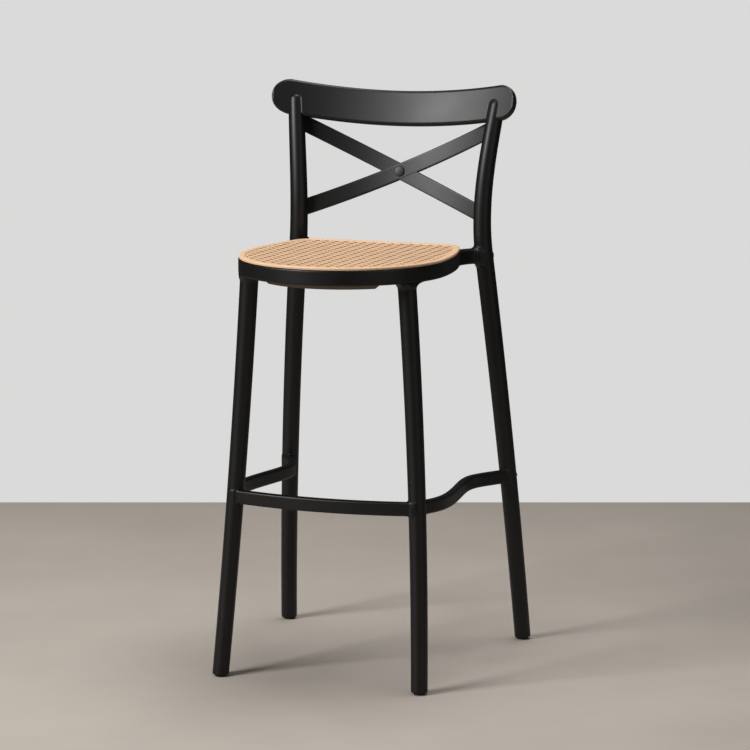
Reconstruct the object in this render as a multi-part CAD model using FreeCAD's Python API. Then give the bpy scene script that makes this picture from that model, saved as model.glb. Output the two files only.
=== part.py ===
import FreeCAD, Part
import math
import os
from FreeCAD import Placement, Rotation, Vector

os.makedirs("parts", exist_ok=True)

# A cross-back bar stool in moulded plastic. X is to the sitter's left and right, -Y is the front, +Z is up.
# Every length is in millimetres. Right means +X; each left piece mirrors its right one.

# Seat ring
RING_TOP = 771.5            # height of the ring's top face, which the seat panel lies on
RING_HEIGHT = 28.5
RING_WIDTH = 36.0           # from the outer wall to the opening
SEAT_RADIUS = 194.0         # front half of the seat outline, a half circle
SEAT_SIDE_RADIUS = 520.0    # gentle arc of each side behind it
SEAT_CORNER_RADIUS = 46.0
SEAT_CENTRE_Y = -97.0       # centre of the front half circle
SEAT_BACK_Y = 108.0         # straight back edge
RING_EDGE_RADIUS = 3.0

# Feet and legs
FRONT_FOOT_SPREAD = 389.0   # between the axes of the front feet, on the floor
REAR_FOOT_SPREAD = 485.0
FOOT_DEPTH = 466.0          # from the front feet's axes to the rear feet's
FRONT_LEG_ANGLE = 60.2      # where the front legs meet the ring, from straight ahead, in degrees
FRONT_LEG_INSET = 19.0      # from the ring's outer wall to the leg's axis
FRONT_LEG_BOW = (1.8, 14.4)     # how far the leg's middle stands off its chord, in X and Y
REAR_LEG_BOW = (4.7, -2.8)
FOOT_RADIUS = 15.4
FRONT_LEG_TOP_RADIUS = 17.0
REAR_LEG_TOP_RADIUS = 17.2
LEG_HEAD_FILLET = 14.0      # fillet of the front leg's head under the ring

# Back posts, which carry on from the rear legs
POST_SEAT_SPREAD = 374.6    # between the posts' axes at seat level
POST_SEAT_Y = 148.8
POST_TIP_SPREAD = 403.0
POST_TIP_Y = 178.2
POST_RISE = 279.0           # from the seat joint to the top of the post's straight axis
POST_TIP_SLOPE = (0.115, 0.26)
POST_TIP_RADIUS = 15.2
SEAT_JOINT_DROP = 19.5      # from the ring's top face down to the middle of the seat joint

# Arms that join the ring to the posts
ARM_THICKNESS = 22.0
ARM_HEIGHT = 28.0
ARM_EDGE_RADIUS = 4.0
ARM_START = (0.98, 70.0)    # out from the corner's centre, as a share of its radius, and ahead of it
ARM_WAIST = 0.66            # the same share where the arm leaves the corner
ARM_LEAD = (13.0, 56.0)     # from the corner's centre to the arm's last bend, in X and Y

# Footrest rails
RAIL_BOTTOM = 321.5
RAIL_HEIGHT = 25.0
RAIL_DEPTH = 15.0
RAIL_EDGE_RADIUS = 3.0
FRONT_RAIL_BOW = 25.0       # how far the front rail's middle stands ahead of its ends
FRONT_RAIL_LEAD = 6.0       # how far the front rail's middle line runs ahead of the leg's axis
SIDE_RAIL_DROP = 7.0        # how much lower a side rail ends at the rear leg
SIDE_RAIL_START = 9.0       # from the front leg's axis to the side rail's end
SIDE_RAIL_TOE = (3.2, -7.4)     # from the rear leg's axis to the side rail's other end, in X and Y
SIDE_RAIL_SWEEP = ((31.6, 0.238), (41.7, 0.099), (-2.7, 0.874), (-28.6, 0.638))    # its inner curve points

# Crest rail
CREST_LENGTH = 487.0
CREST_HEIGHT = 67.0
CREST_THICKNESS = 20.0
CREST_BOW = 45.0            # how far the middle stands behind the ends
CREST_LIFT = 14.0           # how far the ends stand above the middle, along the board
CREST_LEAN = 15.0           # backward lean in degrees
CREST_FRONT_Y = 193.0       # front face at the middle
CREST_DROP = 10.0           # from the post axis's end down to the board's middle height
CREST_WALL = 4.0            # wall left behind the posts' tongues
CREST_EDGE_RADIUS = 6.0

# Cross brace
BRACE_BOW = 36.0            # how far the crossing stands behind the brace's ends
BRACE_LEAN = 11.5
BRACE_CENTRE_RISE = 127.5   # from the ring's top face up to the crossing
BRACE_FRONT_Y = 201.0       # front face at the crossing
BRACE_SLAT_WIDTH = 29.5
BRACE_THICKNESS = 9.0
BRACE_SLOPE = 0.4387        # rise of a slat over its run
BUTTON_RADIUS = 10.0
BUTTON_HEIGHT = 2.5
BUTTON_STEM_RADIUS = 4.0

# Seat panel
PANEL_INSET = 0.8           # from the ring's outer wall to the panel's rim
PANEL_THICKNESS = 4.8
PANEL_RIM_WIDTH = 13.0
PANEL_DISH = 1.2            # how far the cane field lies below the rim
SKIRT_THICKNESS = 3.0
SKIRT_DEPTH = 10.5          # how far the front of the skirt reaches below the ring
SKIRT_HALF_WIDTH = 104.0
BOSS_RADIUS = 6.0
BOSS_DEPTH = 12.0
PANEL_SCREW_SINK = 3.0      # from the ring's underside up to a panel screw's head
PANEL_SCREW_COVER = 4.0     # from the screw's tip up to the ring's top face
BOSS_ANGLES = (25, 105)     # where bosses stand round the front half circle, from straight ahead
BACK_BOSS_SHARE = 0.8       # where the last boss stands, as a share of the way out to the corner's centre

# Glides, screws and inserts
GLIDE_RADIUS = 11.0
GLIDE_HEIGHT = 4.5
GLIDE_STEM_RADIUS = 4.5
GLIDE_STEM_LENGTH = 20.0
SPIGOT_RADIUS = 10.0
SPIGOT_LENGTH = 16.0
BOLT_RADIUS = 3.0
BOLT_HEAD_RADIUS = 5.0
BOLT_HEAD_HEIGHT = 5.0
INSERT_RADIUS = 4.5
INSERT_LENGTH = 12.0
SCREW_RADIUS = 2.0
FRONT_SCREW_LENGTH = 18.0
SIDE_SCREW_LENGTH = 32.0
CREST_SCREW_LENGTH = 14.0
SCREW_SINK = 9.0            # depth of the counterbore behind a rail screw's head
SCREW_HEAD_RADIUS = 4.0
SCREW_HEAD_HEIGHT = 2.6
BRACE_SPIGOT_RADIUS = 3.5
BRACE_SPIGOT_LENGTH = 11.0
CAP_RADIUS = 7.0
CAP_HEIGHT = 3.0
CAP_RISE = 0.2              # how far the cap's face stands proud of the post
JOINT_GAP = 0.15            # clearance all round where two pieces fit together
ROOM = 1200.0               # size of a block that reaches past the whole stool on every side
SURFACE_STEP = 0.2          # fineness at which the whole stool's depth is taken

# Places that follow from the sizes above
RING_BOTTOM = RING_TOP - RING_HEIGHT
SEAT_JOINT = RING_TOP - SEAT_JOINT_DROP
PANEL_SCREW_LENGTH = RING_HEIGHT - PANEL_SCREW_SINK - PANEL_SCREW_COVER
SEAT_FRONT_Y = SEAT_CENTRE_Y - SEAT_RADIUS
POST_TIP = SEAT_JOINT + POST_RISE
UP = Vector(0, 0, 1)


def mirrored(shape):
    """The left piece from the right one."""
    return shape.mirror(Vector(0, 0, 0), Vector(1, 0, 0))


def rod(start, direction, radius, length):
    """A round bar from a point along a direction."""
    return Part.makeCylinder(radius, length, start, direction)


def chord_curve(foot, top, bow, z, top_z):
    """A point at height z on a leg's axis: its chord plus a parabola of the stated bow."""
    t = z / top_z
    lift = 4 * t * (1 - t)
    x = foot[0] + (top[0] - foot[0]) * t + bow[0] * lift
    y = foot[1] + (top[1] - foot[1]) * t + bow[1] * lift
    return Vector(x, y, z)


def front_leg_top():
    """Where the front leg's axis meets the ring's underside, in plan."""
    angle = math.radians(FRONT_LEG_ANGLE)
    reach = SEAT_RADIUS - FRONT_LEG_INSET
    return (reach * math.sin(angle), SEAT_CENTRE_Y - reach * math.cos(angle))


def front_leg_axis(z):
    foot = (FRONT_FOOT_SPREAD / 2, -FOOT_DEPTH / 2)
    return chord_curve(foot, front_leg_top(), FRONT_LEG_BOW, z, RING_BOTTOM)


def rear_leg_axis(z):
    """The rear leg up to the seat joint, and above it the post, a cubic that starts along its slope."""
    foot = (REAR_FOOT_SPREAD / 2, FOOT_DEPTH / 2)
    seat = (POST_SEAT_SPREAD / 2, POST_SEAT_Y)
    if z <= SEAT_JOINT:
        return chord_curve(foot, seat, REAR_LEG_BOW, z, SEAT_JOINT)
    tip = (POST_TIP_SPREAD / 2, POST_TIP_Y)
    s = (z - SEAT_JOINT) / POST_RISE
    place = []
    for k in range(2):
        leg_slope = (seat[k] - foot[k] - 4 * REAR_LEG_BOW[k]) / SEAT_JOINT
        start = seat[k] * (2 * s ** 3 - 3 * s ** 2 + 1) + leg_slope * POST_RISE * (s ** 3 - 2 * s ** 2 + s)
        end = tip[k] * (3 * s ** 2 - 2 * s ** 3) + POST_TIP_SLOPE[k] * POST_RISE * (s ** 3 - s ** 2)
        place.append(start + end)
    return Vector(place[0], place[1], z)


def front_leg_radius(z):
    return FOOT_RADIUS + (FRONT_LEG_TOP_RADIUS - FOOT_RADIUS) * z / RING_BOTTOM


def rear_leg_radius(z):
    if z <= SEAT_JOINT:
        return FOOT_RADIUS + (REAR_LEG_TOP_RADIUS - FOOT_RADIUS) * z / SEAT_JOINT
    return REAR_LEG_TOP_RADIUS + (POST_TIP_RADIUS - REAR_LEG_TOP_RADIUS) * (z - SEAT_JOINT) / POST_RISE


def tangent(axis, z):
    """Direction of an axis at height z, from two points a millimetre apart."""
    return (axis(z + 0.5) - axis(z - 0.5)).normalize()


def round_bar(axis, radius, low, high, count, extra=0.0):
    """A round bar that follows an axis between two heights, with its radius, plus a stated extra."""
    wires = []
    for i in range(count):
        z = low + (high - low) * i / (count - 1)
        circle = Part.makeCircle(radius(z) + extra)
        circle.Placement = Placement(axis(z), Rotation(UP, tangent(axis, z)))
        wires.append(Part.Wire(circle))
    return Part.makeLoft(wires, True, False)


def floor_cut(low):
    """A block that takes away everything below a height."""
    return Part.makeBox(ROOM, ROOM, ROOM, Vector(-ROOM / 2, -ROOM / 2, low - ROOM))


def rear_leg_body(extra=0.0):
    """The whole rear leg and post with its domed tip."""
    bar = round_bar(rear_leg_axis, rear_leg_radius, -10, POST_TIP, 15, extra)
    dome = Part.makeSphere(POST_TIP_RADIUS + extra, rear_leg_axis(POST_TIP))
    return bar.fuse(dome).cut(floor_cut(GLIDE_HEIGHT))


def leg_neck():
    """Height at which the front leg's head starts to widen."""
    return RING_BOTTOM - LEG_HEAD_FILLET


def head_radius(z):
    """Radius of the front leg's head: the leg's own, plus a quarter circle that opens out under the ring."""
    rise = min(max(z - leg_neck(), 0), LEG_HEAD_FILLET)
    return front_leg_radius(z) + LEG_HEAD_FILLET - math.sqrt(LEG_HEAD_FILLET ** 2 - rise ** 2)


def corner_centre():
    """Centre of the seat outline's right back corner, tangent to the side arc and the back edge."""
    y = SEAT_BACK_Y - SEAT_CORNER_RADIUS
    reach = SEAT_SIDE_RADIUS - SEAT_CORNER_RADIUS
    x = SEAT_RADIUS - SEAT_SIDE_RADIUS + math.sqrt(reach ** 2 - (y - SEAT_CENTRE_Y) ** 2)
    return Vector(x, y, 0)


def seat_outline(inset, z):
    """The seat's outline, moved in by inset: a half circle, two side arcs, two corners, a straight back."""
    side_centre = Vector(SEAT_RADIUS - SEAT_SIDE_RADIUS, SEAT_CENTRE_Y, 0)
    corner = corner_centre()
    aim = (corner - side_centre).normalize()
    side_radius = SEAT_SIDE_RADIUS - inset
    corner_radius = SEAT_CORNER_RADIUS - inset
    front = SEAT_RADIUS - inset
    half_angle = math.atan2(aim.y, aim.x) / 2
    side_start = Vector(front, SEAT_CENTRE_Y, 0)
    side_middle = side_centre + Vector(math.cos(half_angle), math.sin(half_angle), 0) * side_radius
    side_end = side_centre + aim * side_radius
    corner_turn = (math.atan2(aim.y, aim.x) + math.pi / 2) / 2
    corner_middle = corner + Vector(math.cos(corner_turn), math.sin(corner_turn), 0) * corner_radius
    corner_end = corner + Vector(0, corner_radius, 0)
    right = [Part.Arc(side_start, side_middle, side_end).toShape(),
             Part.Arc(side_end, corner_middle, corner_end).toShape()]
    left = [mirrored(edge) for edge in right]
    half_circle = Part.Arc(side_start, Vector(0, SEAT_CENTRE_Y - front, 0), Vector(-front, SEAT_CENTRE_Y, 0))
    back = Part.makeLine(corner_end, Vector(-corner_end.x, corner_end.y, 0))
    edges = Part.sortEdges([half_circle.toShape(), back] + right + left)[0]
    wire = Part.Wire(edges)
    wire.translate(Vector(0, 0, z))
    return wire


def seat_plate(inset, low, high):
    """A flat plate of the seat's outline between two heights."""
    return Part.Face(seat_outline(inset, low)).extrude(Vector(0, 0, high - low))


def rounded_section(centre, side, up, width, height, radius):
    """A rounded rectangle about a centre, from its side and up directions."""
    a = width / 2
    b = height / 2
    bend = radius * (1 - math.sqrt(0.5))
    corners = [(1, -1), (1, 1), (-1, 1), (-1, -1)]
    edges = []
    ends = []
    for sx, sy in corners:
        low = centre + side * (sx * a) + up * (sy * (b - radius))
        flat = centre + side * (sx * (a - radius)) + up * (sy * b)
        middle = centre + side * (sx * (a - bend)) + up * (sy * (b - bend))
        first, last = (flat, low) if sx * sy < 0 else (low, flat)
        ends.append((first, last))
        edges.append(Part.Arc(first, middle, last).toShape())
    lines = [Part.makeLine(ends[i][1], ends[(i + 1) % 4][0]) for i in range(4)]
    return Part.Wire([piece for pair in zip(edges, lines) for piece in pair])


def bezier(points, s):
    """A point on the Bezier curve of a list of points, by repeated halving of its control lines."""
    row = list(points)
    while len(row) > 1:
        row = [row[i] * (1 - s) + row[i + 1] * s for i in range(len(row) - 1)]
    return row[0]


def swept_bar(points, start, end, width, height, radius, count):
    """A bar of rounded rectangular section, always upright, along part of a Bezier curve."""
    wires = []
    for i in range(count):
        s = start + (end - start) * i / (count - 1)
        run = bezier(points, min(s + 0.001, 1)) - bezier(points, max(s - 0.001, 0))
        along = Vector(run.x, run.y, 0).normalize()
        side = Vector(along.y, -along.x, 0)
        wires.append(rounded_section(bezier(points, s), side, UP, width, height, radius))
    return Part.makeLoft(wires, True, False)


def front_rail_points():
    """The front rail's middle line, a parabola between the front legs, as the points of a Bezier curve."""
    z = RAIL_BOTTOM + RAIL_HEIGHT / 2
    leg = front_leg_axis(z)
    y = leg.y - FRONT_RAIL_LEAD
    return [Vector(-leg.x, y, z), Vector(0, y - 2 * FRONT_RAIL_BOW, z), Vector(leg.x, y, z)]


def side_rail_points():
    """The right side rail's middle line: out from the front leg, in at the waist, out to the rear leg."""
    z = RAIL_BOTTOM + RAIL_HEIGHT / 2
    front = front_leg_axis(z)
    toe = rear_leg_axis(z - SIDE_RAIL_DROP) + Vector(SIDE_RAIL_TOE[0], SIDE_RAIL_TOE[1], 0)
    run = toe.y - front.y
    middle = []
    for shift, share in SIDE_RAIL_SWEEP:
        middle.append(Vector(front.x + shift, front.y + run * share, z - SIDE_RAIL_DROP * share))
    return [front] + middle + [toe]


def rail_start(points):
    """The share of the side rail's curve at which it leaves the front leg's middle clear."""
    s = 0.0
    while (bezier(points, s) - points[0]).Length < SIDE_RAIL_START:
        s += 0.002
    return s


def front_rail_bar(extra=0.0):
    return swept_bar(front_rail_points(), 0, 1, RAIL_DEPTH + 2 * extra, RAIL_HEIGHT + 2 * extra,
                     RAIL_EDGE_RADIUS, 9)


def side_rail_bar(extra=0.0):
    points = side_rail_points()
    return swept_bar(points, rail_start(points), 1, RAIL_DEPTH + 2 * extra, RAIL_HEIGHT + 2 * extra,
                     RAIL_EDGE_RADIUS, 15)


def arm_points():
    """The middle line of the right arm, from inside the ring's side to the post's axis."""
    corner = corner_centre()
    post = rear_leg_axis(SEAT_JOINT)
    ring_middle = RING_TOP - RING_HEIGHT / 2
    start = Vector(corner.x + SEAT_CORNER_RADIUS * ARM_START[0], corner.y - ARM_START[1], ring_middle)
    waist = Vector(corner.x + SEAT_CORNER_RADIUS * ARM_WAIST, corner.y, SEAT_JOINT)
    bend = Vector(corner.x + ARM_LEAD[0], corner.y + ARM_LEAD[1], SEAT_JOINT)
    return [start, waist, bend, Vector(post.x, post.y, SEAT_JOINT)]


def arm_bar():
    return swept_bar(arm_points(), 0, 1, ARM_THICKNESS, ARM_HEIGHT, ARM_EDGE_RADIUS, 9)


def bolt(head_face, direction, length):
    """A cap bolt: its head starts at head_face and its shank runs on along the direction."""
    head = rod(head_face, direction, BOLT_HEAD_RADIUS, BOLT_HEAD_HEIGHT)
    shank = rod(head_face + direction * BOLT_HEAD_HEIGHT, direction, BOLT_RADIUS, length)
    return head.fuse(shank)


def bolt_hole(head_face, direction, length, sink):
    """The clearance for a bolt, with a counterbore of a stated depth behind its head."""
    start = head_face - direction * sink
    head = rod(start, direction, BOLT_HEAD_RADIUS + JOINT_GAP, BOLT_HEAD_HEIGHT + sink)
    shank = rod(head_face, direction, BOLT_RADIUS + JOINT_GAP, BOLT_HEAD_HEIGHT + length + JOINT_GAP)
    return head.fuse(shank)


def screw(head_face, direction, length):
    """A pan-head screw."""
    head = rod(head_face, direction, SCREW_HEAD_RADIUS, SCREW_HEAD_HEIGHT)
    shank = rod(head_face + direction * SCREW_HEAD_HEIGHT, direction, SCREW_RADIUS, length)
    return head.fuse(shank)


def screw_hole(head_face, direction, length, sink):
    start = head_face - direction * sink
    head = rod(start, direction, SCREW_HEAD_RADIUS + JOINT_GAP, SCREW_HEAD_HEIGHT + sink)
    shank = rod(head_face, direction, SCREW_RADIUS + JOINT_GAP, SCREW_HEAD_HEIGHT + length + JOINT_GAP)
    return head.fuse(shank)


def insert(mouth, direction):
    """A threaded insert: a plain sleeve with a bore for the bolt."""
    sleeve = rod(mouth, direction, INSERT_RADIUS, INSERT_LENGTH)
    return sleeve.cut(rod(mouth, direction, BOLT_RADIUS + JOINT_GAP, INSERT_LENGTH))


def insert_hole(mouth, direction):
    start = mouth - direction * JOINT_GAP
    return rod(start, direction, INSERT_RADIUS + JOINT_GAP, INSERT_LENGTH + 2 * JOINT_GAP)


# Fastener places, shared by the pieces that they join

def front_bolt_place():
    """Head face of the bolt that runs down through the ring into the front leg's spigot."""
    x, y = front_leg_top()
    return Vector(x, y, RING_TOP - 1.0)


def front_bolt_length():
    return RING_HEIGHT - 1.0 - BOLT_HEAD_HEIGHT - SPIGOT_LENGTH + INSERT_LENGTH - 1.0


def rear_bolt_direction():
    """Level direction from the post back into the arm."""
    points = arm_points()
    run = bezier(points, 0.9) - points[-1]
    return Vector(run.x, run.y, 0).normalize()


def rear_bolt_place():
    """Head face of the bolt through the post, sunk for its cap."""
    middle = rear_leg_axis(SEAT_JOINT)
    return middle - rear_bolt_direction() * (rear_leg_radius(SEAT_JOINT) - CAP_HEIGHT - 2.0)


def rear_insert_place():
    middle = rear_leg_axis(SEAT_JOINT)
    return middle + rear_bolt_direction() * (rear_leg_radius(SEAT_JOINT) + 3.0)


def rear_bolt_length():
    return (rear_insert_place() - rear_bolt_place()).Length - BOLT_HEAD_HEIGHT + INSERT_LENGTH - 1.0


def cap_place():
    middle = rear_leg_axis(SEAT_JOINT)
    return middle - rear_bolt_direction() * (rear_leg_radius(SEAT_JOINT) + CAP_RISE)


def boss_places():
    """Where the seat panel's bosses stand, half on each side."""
    ring_middle = RING_WIDTH / 2
    places = []
    for degrees in BOSS_ANGLES:
        angle = math.radians(degrees)
        reach = SEAT_RADIUS - ring_middle
        places.append(Vector(reach * math.sin(angle), SEAT_CENTRE_Y - reach * math.cos(angle), RING_TOP))
    back = corner_centre()
    places.append(Vector(back.x * BACK_BOSS_SHARE, SEAT_BACK_Y - ring_middle, RING_TOP))
    return places + [Vector(-p.x, p.y, p.z) for p in places]


def panel_screw_place(boss):
    """Head face of the screw that comes up under a boss."""
    return Vector(boss.x, boss.y, RING_BOTTOM + PANEL_SCREW_SINK)


def front_rail_screw_place():
    """Head face of the screw from behind the front leg into the front rail's end."""
    z = RAIL_BOTTOM + RAIL_HEIGHT / 2
    leg = front_leg_axis(z)
    return Vector(leg.x - 8.0, leg.y + front_leg_radius(z) - 6.0, z)


def side_rail_screw_direction():
    points = side_rail_points()
    run = bezier(points, 0.95) - points[-1]
    return Vector(run.x, run.y, 0).normalize()


def side_rail_screw_place():
    end = side_rail_points()[-1]
    toe = math.hypot(SIDE_RAIL_TOE[0], SIDE_RAIL_TOE[1])
    return end - side_rail_screw_direction() * (rear_leg_radius(end.z) + toe - 5.0)


def crest_placement():
    """The crest rail's own directions: x across, y back along its lean, z up along it."""
    return leaning_placement(CREST_FRONT_Y, POST_TIP - CREST_DROP, CREST_LEAN)


def crest_screw_direction():
    return crest_placement().Rotation.multVec(Vector(0, -1, 0))


def crest_screw_place():
    """Head face of the screw from the crest rail's back into the post's tongue."""
    x = rear_leg_axis(POST_TIP - CREST_DROP).x
    bow = CREST_BOW * (2 * x / CREST_LENGTH) ** 2
    return crest_placement().multVec(Vector(x, CREST_THICKNESS - bow + SCREW_HEAD_HEIGHT / 2, 0))


def leaning_placement(y, z, degrees):
    """Local x stays x, local y points back along the lean, local z points up along it."""
    return Placement(Vector(0, y, z), Rotation(Vector(1, 0, 0), -degrees))


# The pieces

def seat_ring():
    """Moulded ring with its two arms, bored for the legs, bolts, screws and the panel's bosses."""
    body = seat_plate(0, RING_BOTTOM, RING_TOP)
    rims = [e for e in body.Edges if abs(e.BoundBox.ZMax - e.BoundBox.ZMin) < 0.01]
    body = body.makeFillet(RING_EDGE_RADIUS, rims)
    body = body.cut(seat_plate(RING_WIDTH, RING_BOTTOM - 1, RING_TOP + 1))
    arm = arm_bar().cut(seat_plate(RING_WIDTH - 1, RING_BOTTOM - 30, RING_TOP + 30))
    body = body.fuse([arm, mirrored(arm)])
    post = rear_leg_body(JOINT_GAP)
    x, y = front_leg_top()
    bore = rod(Vector(x, y, RING_BOTTOM - 1), UP, SPIGOT_RADIUS + JOINT_GAP, SPIGOT_LENGTH + 1 + JOINT_GAP)
    cuts = [post, bore, bolt_hole(front_bolt_place(), -UP, front_bolt_length(), 2.0),
            bolt_hole(rear_bolt_place(), rear_bolt_direction(), rear_bolt_length(), 0),
            insert_hole(rear_insert_place(), rear_bolt_direction())]
    cuts += [mirrored(c) for c in cuts]
    for boss in boss_places():
        cuts.append(rod(boss + UP, -UP, BOSS_RADIUS + JOINT_GAP, BOSS_DEPTH + 1 + JOINT_GAP))
        cuts.append(screw_hole(panel_screw_place(boss), UP, PANEL_SCREW_LENGTH, 5.0))
    return body.cut(cuts)


def front_leg_blank():
    """The front leg as one bar of level circles, wider under the ring and trimmed to its outline."""
    heights = [GLIDE_HEIGHT + (leg_neck() - GLIDE_HEIGHT) * i / 8 for i in range(9)]
    heights += [leg_neck() + LEG_HEAD_FILLET * math.sin(math.pi / 2 * i / 8) for i in range(1, 9)]
    rings = []
    for z in heights:
        circle = Part.makeCircle(head_radius(z))
        circle.translate(front_leg_axis(z))
        rings.append(Part.Wire(circle))
    surround = Part.makeBox(ROOM, ROOM, LEG_HEAD_FILLET + 1, Vector(-ROOM / 2, -ROOM / 2, leg_neck()))
    surround = surround.cut(seat_plate(0, leg_neck() - 1, RING_TOP))
    return Part.makeLoft(rings, True, False).cut(surround)


def front_leg():
    """Right front leg with its spigot, housed for both rails, bored for the glide, insert and screw."""
    x, y = front_leg_top()
    spigot = rod(Vector(x, y, RING_BOTTOM - 2), UP, SPIGOT_RADIUS, SPIGOT_LENGTH + 2)
    body = front_leg_blank().fuse(spigot)
    mouth = Vector(x, y, RING_BOTTOM + SPIGOT_LENGTH)
    cuts = [front_rail_bar(JOINT_GAP), side_rail_bar(JOINT_GAP), insert_hole(mouth, -UP),
            glide_hole(front_leg_axis(GLIDE_HEIGHT)),
            screw_hole(front_rail_screw_place(), Vector(0, -1, 0), FRONT_SCREW_LENGTH, SCREW_SINK)]
    return body.cut(cuts)


def rear_leg():
    """Right rear leg and back post, bored for the bolt and its cap, the brace, the crest and the rail."""
    direction = rear_bolt_direction()
    cuts = [side_rail_bar(JOINT_GAP), glide_hole(rear_leg_axis(GLIDE_HEIGHT)),
            bolt_hole(rear_bolt_place(), direction, rear_bolt_length(), 2.0),
            rod(cap_place() - direction * 5, direction, CAP_RADIUS + JOINT_GAP, CAP_HEIGHT + 6 + JOINT_GAP),
            screw_hole(side_rail_screw_place(), side_rail_screw_direction(), SIDE_SCREW_LENGTH, SCREW_SINK),
            screw_hole(crest_screw_place(), crest_screw_direction(), CREST_SCREW_LENGTH, SCREW_SINK),
            crest_backing(JOINT_GAP)]
    cuts += brace_spigots(JOINT_GAP)
    return rear_leg_body().cut(cuts)


def front_footrest_rail():
    """Bowed rail, its ends housed in the front legs."""
    hole = screw_hole(front_rail_screw_place(), Vector(0, -1, 0), FRONT_SCREW_LENGTH, SCREW_SINK)
    return front_rail_bar().cut([hole, mirrored(hole)])


def side_footrest_rail():
    """Right side rail, its ends housed in the front and rear legs."""
    hole = screw_hole(side_rail_screw_place(), side_rail_screw_direction(), SIDE_SCREW_LENGTH, SCREW_SINK)
    return side_rail_bar().cut(hole)


def bowed_slab(half_width, bow, thickness, low, high):
    """A slab between two parallel parabolas whose middle is at y = 0 and whose ends are at y = -bow."""
    front = Part.BezierCurve()
    front.setPoles([Vector(-half_width, -bow, low), Vector(0, bow, low), Vector(half_width, -bow, low)])
    back = Part.BezierCurve()
    back.setPoles([Vector(half_width, thickness - bow, low), Vector(0, thickness + bow, low),
                   Vector(-half_width, thickness - bow, low)])
    right = Part.makeLine(Vector(half_width, -bow, low), Vector(half_width, thickness - bow, low))
    left = Part.makeLine(Vector(-half_width, thickness - bow, low), Vector(-half_width, -bow, low))
    outline = Part.Wire([front.toShape(), right, back.toShape(), left])
    return Part.Face(outline).extrude(Vector(0, 0, high - low))


def parabola_edge(half_width, middle, lift):
    """An edge across the board, in the x-z plane, whose ends stand above its middle by lift."""
    curve = Part.BezierCurve()
    curve.setPoles([Vector(-half_width, 0, middle + lift), Vector(0, 0, middle - lift),
                    Vector(half_width, 0, middle + lift)])
    return curve.toShape()


def crest_board():
    """The crest rail before it is housed over the posts: a bowed slab cut to a board with round ends."""
    half = CREST_LENGTH / 2
    run = half - CREST_HEIGHT / 2
    lift = CREST_LIFT * (run / half) ** 2
    low = parabola_edge(run, -CREST_HEIGHT / 2, lift)
    high = parabola_edge(run, CREST_HEIGHT / 2, lift)
    ends = []
    for side in (-1, 1):
        start = Vector(side * run, 0, lift - CREST_HEIGHT / 2)
        middle = Vector(side * half, 0, lift)
        ends.append(Part.Arc(start, middle, Vector(side * run, 0, lift + CREST_HEIGHT / 2)).toShape())
    outline = Part.Wire(Part.sortEdges([low, high] + ends)[0])
    outline.translate(Vector(0, -CREST_BOW - 20, 0))
    board = Part.Face(outline).extrude(Vector(0, CREST_BOW + CREST_THICKNESS + 60, 0))
    slab = bowed_slab(half + 20, CREST_BOW * ((half + 20) / half) ** 2, CREST_THICKNESS, -120, 120)
    board = board.common(slab)
    board = board.makeFillet(CREST_EDGE_RADIUS, board_rims(board))
    board.Placement = crest_placement()
    return board


def crest_backing(extra):
    """All that lies behind the posts' tongues and above the crest rail's lower edge, grown by extra."""
    half = CREST_LENGTH / 2
    low = parabola_edge(half, -CREST_HEIGHT / 2 - extra, CREST_LIFT)
    roof = CREST_HEIGHT + 60
    floor = CREST_LIFT - CREST_HEIGHT / 2 - extra
    corners = [Vector(half, 0, floor), Vector(half, 0, roof), Vector(-half, 0, roof),
               Vector(-half, 0, floor)]
    outline = Part.Wire([low] + [Part.makeLine(corners[i], corners[i + 1]) for i in range(3)])
    outline.translate(Vector(0, -CREST_BOW - 20, 0))
    column = Part.Face(outline).extrude(Vector(0, CREST_BOW + 120, 0))
    slab = bowed_slab(half, CREST_BOW, 60, -CREST_HEIGHT, roof + 10)
    slab.translate(Vector(0, CREST_THICKNESS - CREST_WALL - extra, 0))
    backing = column.common(slab)
    backing.Placement = crest_placement()
    return backing


def board_rims(board):
    """The edges of a bowed board's front and back faces."""
    rims = []
    for edge in board.Edges:
        box = edge.BoundBox
        if box.XLength > 1.0:
            rims.append(edge)
    return rims


def crest_rail():
    """Crest rail, housed over both posts and bored for its screws."""
    tongue = rear_leg_body(JOINT_GAP).cut(crest_backing(0))
    hole = screw_hole(crest_screw_place(), crest_screw_direction(), CREST_SCREW_LENGTH, SCREW_SINK)
    return crest_board().cut([tongue, mirrored(tongue), hole, mirrored(hole)])


def brace_half_run():
    """From the crossing to the posts' axes, across."""
    return rear_leg_axis(RING_TOP + BRACE_CENTRE_RISE).x


def brace_placement():
    return leaning_placement(BRACE_FRONT_Y, RING_TOP + BRACE_CENTRE_RISE, BRACE_LEAN)


def brace_slat(slope, half_run):
    """One slat of the cross as a thick upright plate, which the bowed slab then trims."""
    length = 2 * half_run * math.sqrt(1 + slope ** 2)
    depth = 4 * BRACE_BOW + 60
    corner = Vector(-length / 2, -depth / 2, -BRACE_SLAT_WIDTH / 2)
    slat = Part.makeBox(length, depth, BRACE_SLAT_WIDTH, corner)
    slat.rotate(Vector(0, 0, 0), Vector(0, 1, 0), -math.degrees(math.atan(slope)))
    return slat


def brace_spigot_at(side, level, extra):
    """A round spigot that runs on from a slat's end into the post."""
    half_run = brace_half_run()
    x = half_run - rear_leg_radius(RING_TOP + BRACE_CENTRE_RISE)
    bow = BRACE_BOW * (x / half_run) ** 2
    along = Vector(1, -2 * BRACE_BOW * x / half_run ** 2, level * BRACE_SLOPE).normalize()
    middle = Vector(x, BRACE_THICKNESS / 2 - bow, level * BRACE_SLOPE * x)
    start = middle - along * 12.0
    pin = rod(start, along, BRACE_SPIGOT_RADIUS + extra, 12.0 + BRACE_SPIGOT_LENGTH + extra)
    pin.Placement = brace_placement().multiply(pin.Placement)
    return pin if side > 0 else mirrored(pin)


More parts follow.
